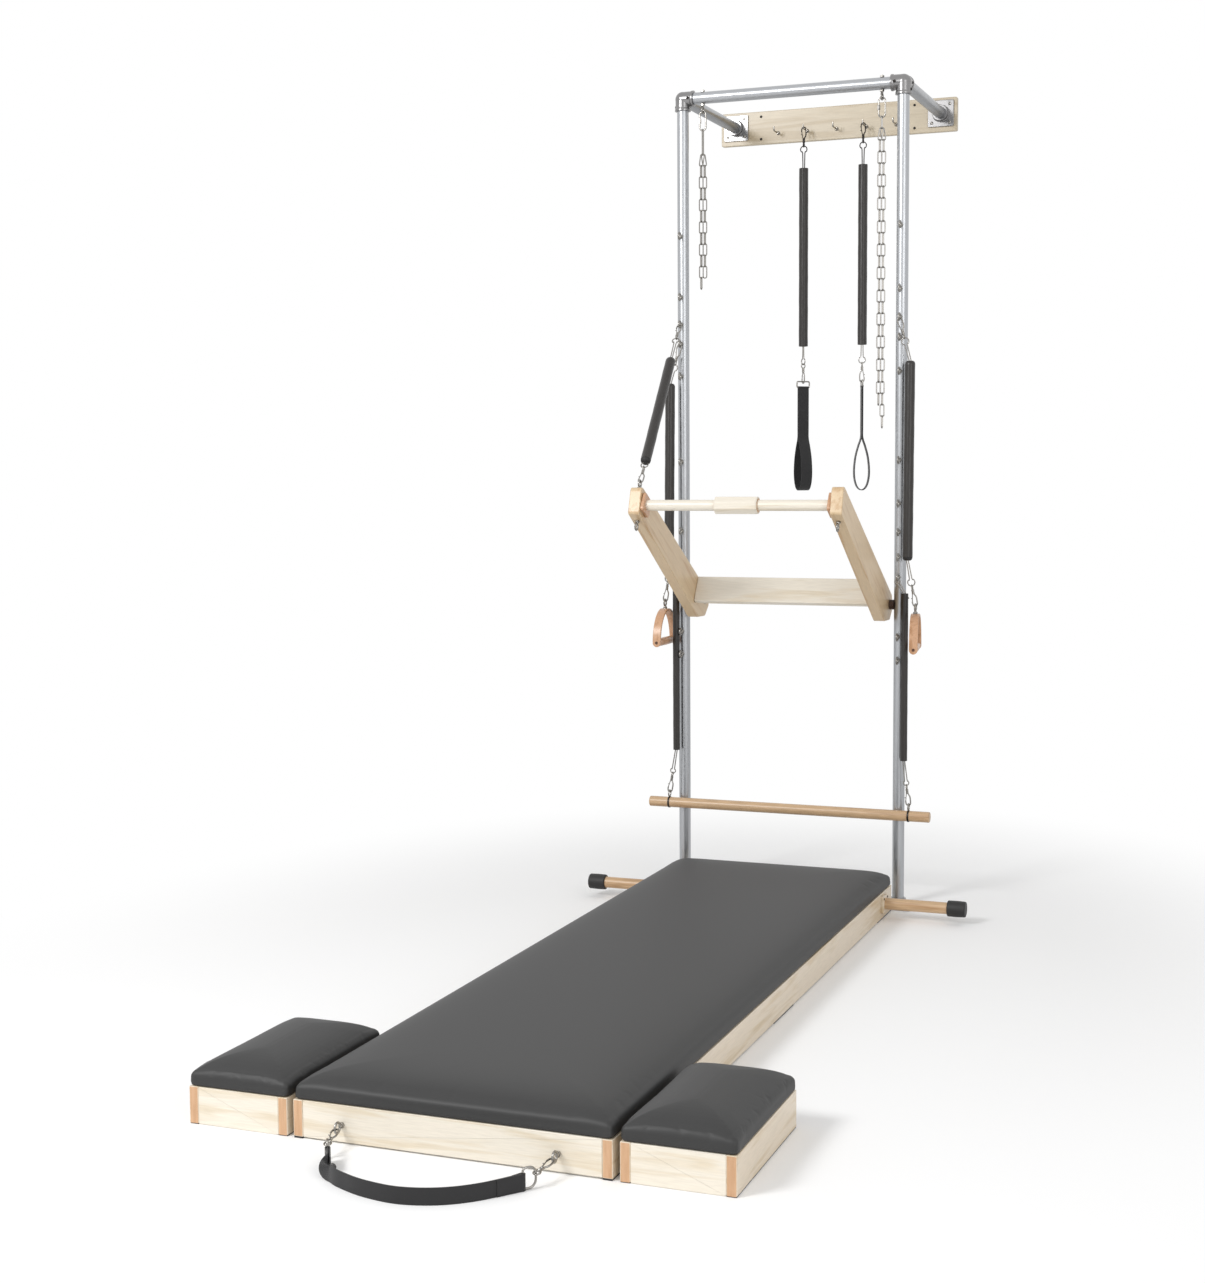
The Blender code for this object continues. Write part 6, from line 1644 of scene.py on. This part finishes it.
@dataclass
class FootStrap:
    """The strap in front of the mat: two snaps, two rings and a band standing on its edge."""

    eye: tuple[float, float, float] = (0.217, -2.2863, 0.0365)
    width: float = 0.031
    thickness: float = 0.0028
    route: tuple[tuple[float, float], ...] = (
        (-0.196, -2.392), (-0.148, -2.440), (-0.095, -2.472), (-0.040, -2.489), (0.020, -2.493), (0.084, -2.473),
        (0.138, -2.432), (0.197, -2.387))
    drop: float = 0.018
    lead: float = math.radians(24.0)
    depth: float = 0.026
    wire: float = 0.0022
    twist: tuple[float, float] = (0.030, 0.095)   # where the band's half turn starts and ends, from its left end

    def snap_frame(self, side: Side) -> Array:
        """Where a snap hangs in its eyebolt, and the way that it is pulled."""
        x, y, z = self.eye
        out = np.array([0, -math.cos(self.lead), -math.sin(self.lead)])
        hang = at(side.value * x, y, z) + out * 0.0040
        px, py = self.route[0 if side is Side.LEFT else -1]
        return frame_down(hang, at(px, py, z - self.drop))

    def bar(self, side: Side) -> Array:
        """The middle of the ring's wire that a snap's eye holds."""
        frame = self.snap_frame(side)
        spot = frame[:3, 3] - frame[:3, 2] * SNAP.reach(self.wire)
        return np.array([spot[0], spot[1], self.width / 2 + 0.0057])

    def build(self) -> None:
        """The hardware at each end, and the band with its half turn."""
        route = np.array([at(x, y, 0.0) for x, y in self.route])
        middle = self.width / 2 + FIT
        gap = self.depth + self.wire + FIT
        for side, end, beside in ((Side.LEFT, 0, 1), (Side.RIGHT, -1, -2)):
            word, bar = side.word, self.bar(side)
            add_piece(word + "_foot_snap", SNAP.surfaces(self.snap_frame(side), crossed=False), NICKEL, "foot_strap",
                      [word + "_foot_strap_hook"])
            x, y, z = self.eye
            add_piece(word + "_foot_eyebolt", EYEBOLT.surfaces(at(side.value * x, y, z), Y), NICKEL)
            flat = bar * (1, 1, 0)
            inward = unit(route[beside] - flat)
            route[end] = flat + inward * gap
            half = self.width / 2 + self.wire + 0.001
            shape = eased([(-half, -self.depth), (half, -self.depth), (half, -0.008), (half * 0.55, 0),
                           (-half * 0.55, 0), (-half, -0.008)], 0.007)
            held = np.array([bar[0], bar[1], middle + self.wire + 0.0034])
            band_ring = wire(in_plane(shape, 1), Y, self.wire, closed=True)
            add_piece(word + "_foot_ring", band_ring.moved(frame_down(held, held + inward, Z)), NICKEL, "foot_strap")
            beyond = np.cross(Z, inward)
            fold = [(0.052, 0.0029), (0.036, 0.0030), (0.010, 0.0034), (0.0, 0.0040), (-0.0040, 0.0), (0.0, -0.0038),
                    (0.009, -0.0030), (0.020, -0.0008)]
            base = held + inward * self.depth
            curve = smooth([(*(base + inward * a + beyond * b)[:2], middle) for a, b in fold], 5)
            strip = sweep(curve, Z, flat_section(self.width, self.thickness * 0.9, 0.0007))
            add_piece(word + "_foot_fold", strip, WEBBING, "foot_strap")
        route[:, 2] = middle
        path = smooth(route, 24)
        gone = np.concatenate([[0.0], np.cumsum(np.linalg.norm(np.diff(path, axis=0), axis=1))])
        share = np.clip((gone - self.twist[0]) / (self.twist[1] - self.twist[0]), 0, 1)
        angle = math.pi * share ** 2 * (3 - 2 * share)
        tangent = unit(np.gradient(path, axis=0))
        sideways = np.cross(tangent, Z)
        across = np.cos(angle)[:, None] * Z + np.sin(angle)[:, None] * sideways
        band = sweep(path, across, flat_section(self.width, self.thickness, 0.0007))
        add_piece("foot_band", band, WEBBING, "foot_strap", ["foot_strap_band"])


@dataclass
class Springs:
    """The seven sleeved springs: where each hangs, where its sleeve lies and what it holds."""

    pole: float = HALF_TOWER
    pitch: float = HOOK_PITCH

    def push_spring(self) -> None:
        """From the left pole's third eyebolt to the push bar's left arm."""
        eye, held = at(-self.pole, EYE_Y, 1.655), at(-0.274, *UPPER_EYE)
        way = unit(held - eye)
        hang, hook = eye + way * LINKED, held - way * 0.0050
        top = hang + way * 0.148
        SleevedSpring("push_spring", hang, top, top + way * 0.408, hook, bodies=("push_spring", "push_spring_tail"),
                      nodes=("push_spring_sleeve", "push_spring_coil", "push_spring_top_snap")).dress()

    def handle_spring(self, side: Side, hang: Array, top: Array, end: Array, held: Array) -> None:
        """A spring that carries a handle, and the handle."""
        name = side.word + "_handle_spring"
        SleevedSpring(name, hang, top, end, held + Z * LINKED, bodies=(name, name + "_tail"),
                      nodes=(name + "_sleeve", name + "_coil", name + "_top_snap")).dress()
        Handle(side, held, 0.0 if side is Side.LEFT else math.radians(8.0)).build()

    def roll_spring(self, side: Side, sleeve: float) -> None:
        """A light spring of the roll-down bar."""
        s, name = side.value, side.word + "_roll_spring"
        hang, top = at(s * self.pole, EYE_Y, 0.9304), at(s * sleeve, EYE_Y, 0.890)
        hook = at(s * 0.356, EYE_Y, 0.2929)
        SleevedSpring(name, hang, top, top - Z * 0.471, hook, light=True, domed=False,
                      top_snap=False, bodies=("roll_springs", "roll_springs_tail"),
                      nodes=(name + "_sleeve", name + "_coil")).dress()

    def hanging_spring(self, side: Side, turn: float) -> None:
        """A spring on a wall hook, and the strap loop that it carries."""
        x, name = side.value * self.pitch, side.word + "_hanging_spring"
        hang = at(x, 0.4749, 2.2769)
        top, end, hook = (at(x, 0.4749, z) for z in (2.1534, 1.6144, 1.5014))
        opens = np.array([math.sin(turn), -math.cos(turn), 0.0])
        SleevedSpring(name, hang, top, end, hook, domed=False, hardware=DARK_STEEL, lower_side=opens,
                      bodies=(name, name + "_tail"),
                      nodes=(name + "_sleeve", name + "_coil", name + "_top_snap")).dress()
        StrapLoop(side, hook, turn).build()

    def build(self) -> None:
        """All of them."""
        self.push_spring()
        self.handle_spring(Side.LEFT, hung(-self.pole, 1.600), at(-0.3485, -0.0373, 1.486),
                           at(-0.3485, -0.0535, 0.946), at(-0.361, -0.0535, 0.853))
        self.handle_spring(Side.RIGHT, hung(self.pole, 1.655), at(0.352, -0.0375, 1.533), at(0.352, -0.0535, 0.993),
                           at(0.3755, -0.0535, 0.853))
        self.roll_spring(Side.LEFT, 0.334)
        self.roll_spring(Side.RIGHT, 0.341)
        self.hanging_spring(Side.LEFT, math.radians(47.0))
        self.hanging_spring(Side.RIGHT, math.radians(-70.0))


# Floor, light and camera.


@dataclass
class Studio:
    """A white studio: a pale floor, a large key light in front on the left and a soft fill."""

    eye: tuple[float, float, float] = (1.491, -5.298, 1.243)
    yaw: float = math.radians(21.34)
    pitch: float = math.radians(5.17)
    roll: float = math.radians(-0.40)
    lens: float = 53.62

    def camera(self) -> None:
        """The photograph's viewpoint."""
        data = bpy.data.cameras.new("camera")
        data.sensor_fit, data.sensor_height, data.lens = "VERTICAL", 36.0, self.lens
        cy, sy, cp, sp = math.cos(self.yaw), math.sin(self.yaw), math.cos(self.pitch), math.sin(self.pitch)
        ahead = np.array([-sy * cp, cy * cp, -sp])
        right = np.array([cy, sy, 0.0])
        up = np.cross(right, ahead)
        turn = math.cos(self.roll) * right + math.sin(self.roll) * up
        rise = math.cos(self.roll) * up - math.sin(self.roll) * right
        made = put("camera", data)
        made.matrix_world = Matrix(frame_of(turn, rise, -ahead, at(*self.eye)).tolist())
        bpy.context.scene.camera = made

    def lamp(self, name: str, spot: Array, size: float, power: float) -> None:
        """A square area light aimed at the middle of the unit."""
        data = bpy.data.lights.new(name, "AREA")
        data.shape, data.size, data.energy = "SQUARE", size, power
        put(name, data).matrix_world = Matrix(frame_down(spot, at(0, -0.9, 0.7)).tolist())

    def floor(self) -> None:
        """A wide plain floor that keeps the unit's shadow and runs out into the white background."""
        corners = np.array([[[-30.0, -30.0, 0.0], [30.0, -30.0, 0.0]], [[-30.0, 30.0, 0.0], [30.0, 30.0, 0.0]]])
        sheet = skin(corners, wrap=False)
        mesh = bpy.data.meshes.new("floor")
        mesh.from_pydata(sheet.points.tolist(), [], sheet.quads.tolist())
        made = put("floor", mesh)
        paint = bpy.data.materials.new("studio_floor")
        paint.use_nodes = True
        tree = paint.node_tree
        shader = tree.nodes["Principled BSDF"]
        shader.inputs["Base Color"].default_value = linear("#fdfdfd")
        shader.inputs["Roughness"].default_value = 0.9
        place = place_of(tree)
        away = scaled(tree, place, (1.0, 0.75, 1.0))
        far = add_node(tree, "VectorMath", {0: away}, operation="LENGTH").outputs["Value"]
        share = mapped(tree, far, 0.9, 2.0, 0.0, 1.0, interpolation_type="SMOOTHSTEP")
        seen = add_node(tree, "LightPath").outputs["Is Camera Ray"]
        fade = maths(tree, "MULTIPLY", share, seen)
        white = add_node(tree, "Emission", {"Strength": 1.0}).outputs[0]
        both = add_node(tree, "MixShader", {0: fade, 1: shader.outputs[0], 2: white}).outputs[0]
        tree.links.new(both, tree.nodes["Material Output"].inputs["Surface"])
        mesh.materials.append(paint)

    def world(self) -> None:
        """White where the camera or a mirror sees it, and an even light from all round."""
        world = bpy.data.worlds.new("studio")
        world.use_nodes = True
        tree = world.node_tree
        seen = add_node(tree, "LightPath").outputs
        mirrored = maths(tree, "MAXIMUM", seen["Is Camera Ray"], seen["Is Glossy Ray"])
        white = maths(tree, "MAXIMUM", mirrored, seen["Is Transmission Ray"])
        strength = add_node(tree, "MapRange", {0: white, 3: 0.62, 4: 1.0}).outputs[0]
        tree.links.new(strength, tree.nodes["Background"].inputs["Strength"])
        tree.nodes["Background"].inputs["Color"].default_value = (1.0, 1.0, 1.0, 1.0)
        bpy.context.scene.world = world

    def build(self) -> None:
        """Everything round the unit."""
        self.floor()
        self.camera()
        self.world()
        self.lamp("key", at(-2.2, -5.0, 3.6), 1.4, 140.0)
        self.lamp("fill", at(3.5, -4.0, 2.2), 2.5, 40.0)
        bpy.context.scene.view_settings.view_transform = "Standard"


def main() -> None:
    """Builds the finished unit in its studio."""
    logging.basicConfig(level=logging.INFO, format="%(message)s")
    Tower().build()
    WallBoard().build()
    FloorMat().build()
    for side in Side:
        SideBox(side).build()
    HeadRod().build()
    PushBar().build()
    RollBar().build()
    Springs().build()
    Chain(Side.LEFT, at(-CHAIN_OFFSET, 0, 2.2566), 0.076, (12, 11)).build()
    Chain(Side.RIGHT, at(CHAIN_OFFSET, 0, 2.2566), 0.038, (24, 26)).build()
    FootStrap().build()
    Studio().build()


if __name__ == "__main__":
    main()
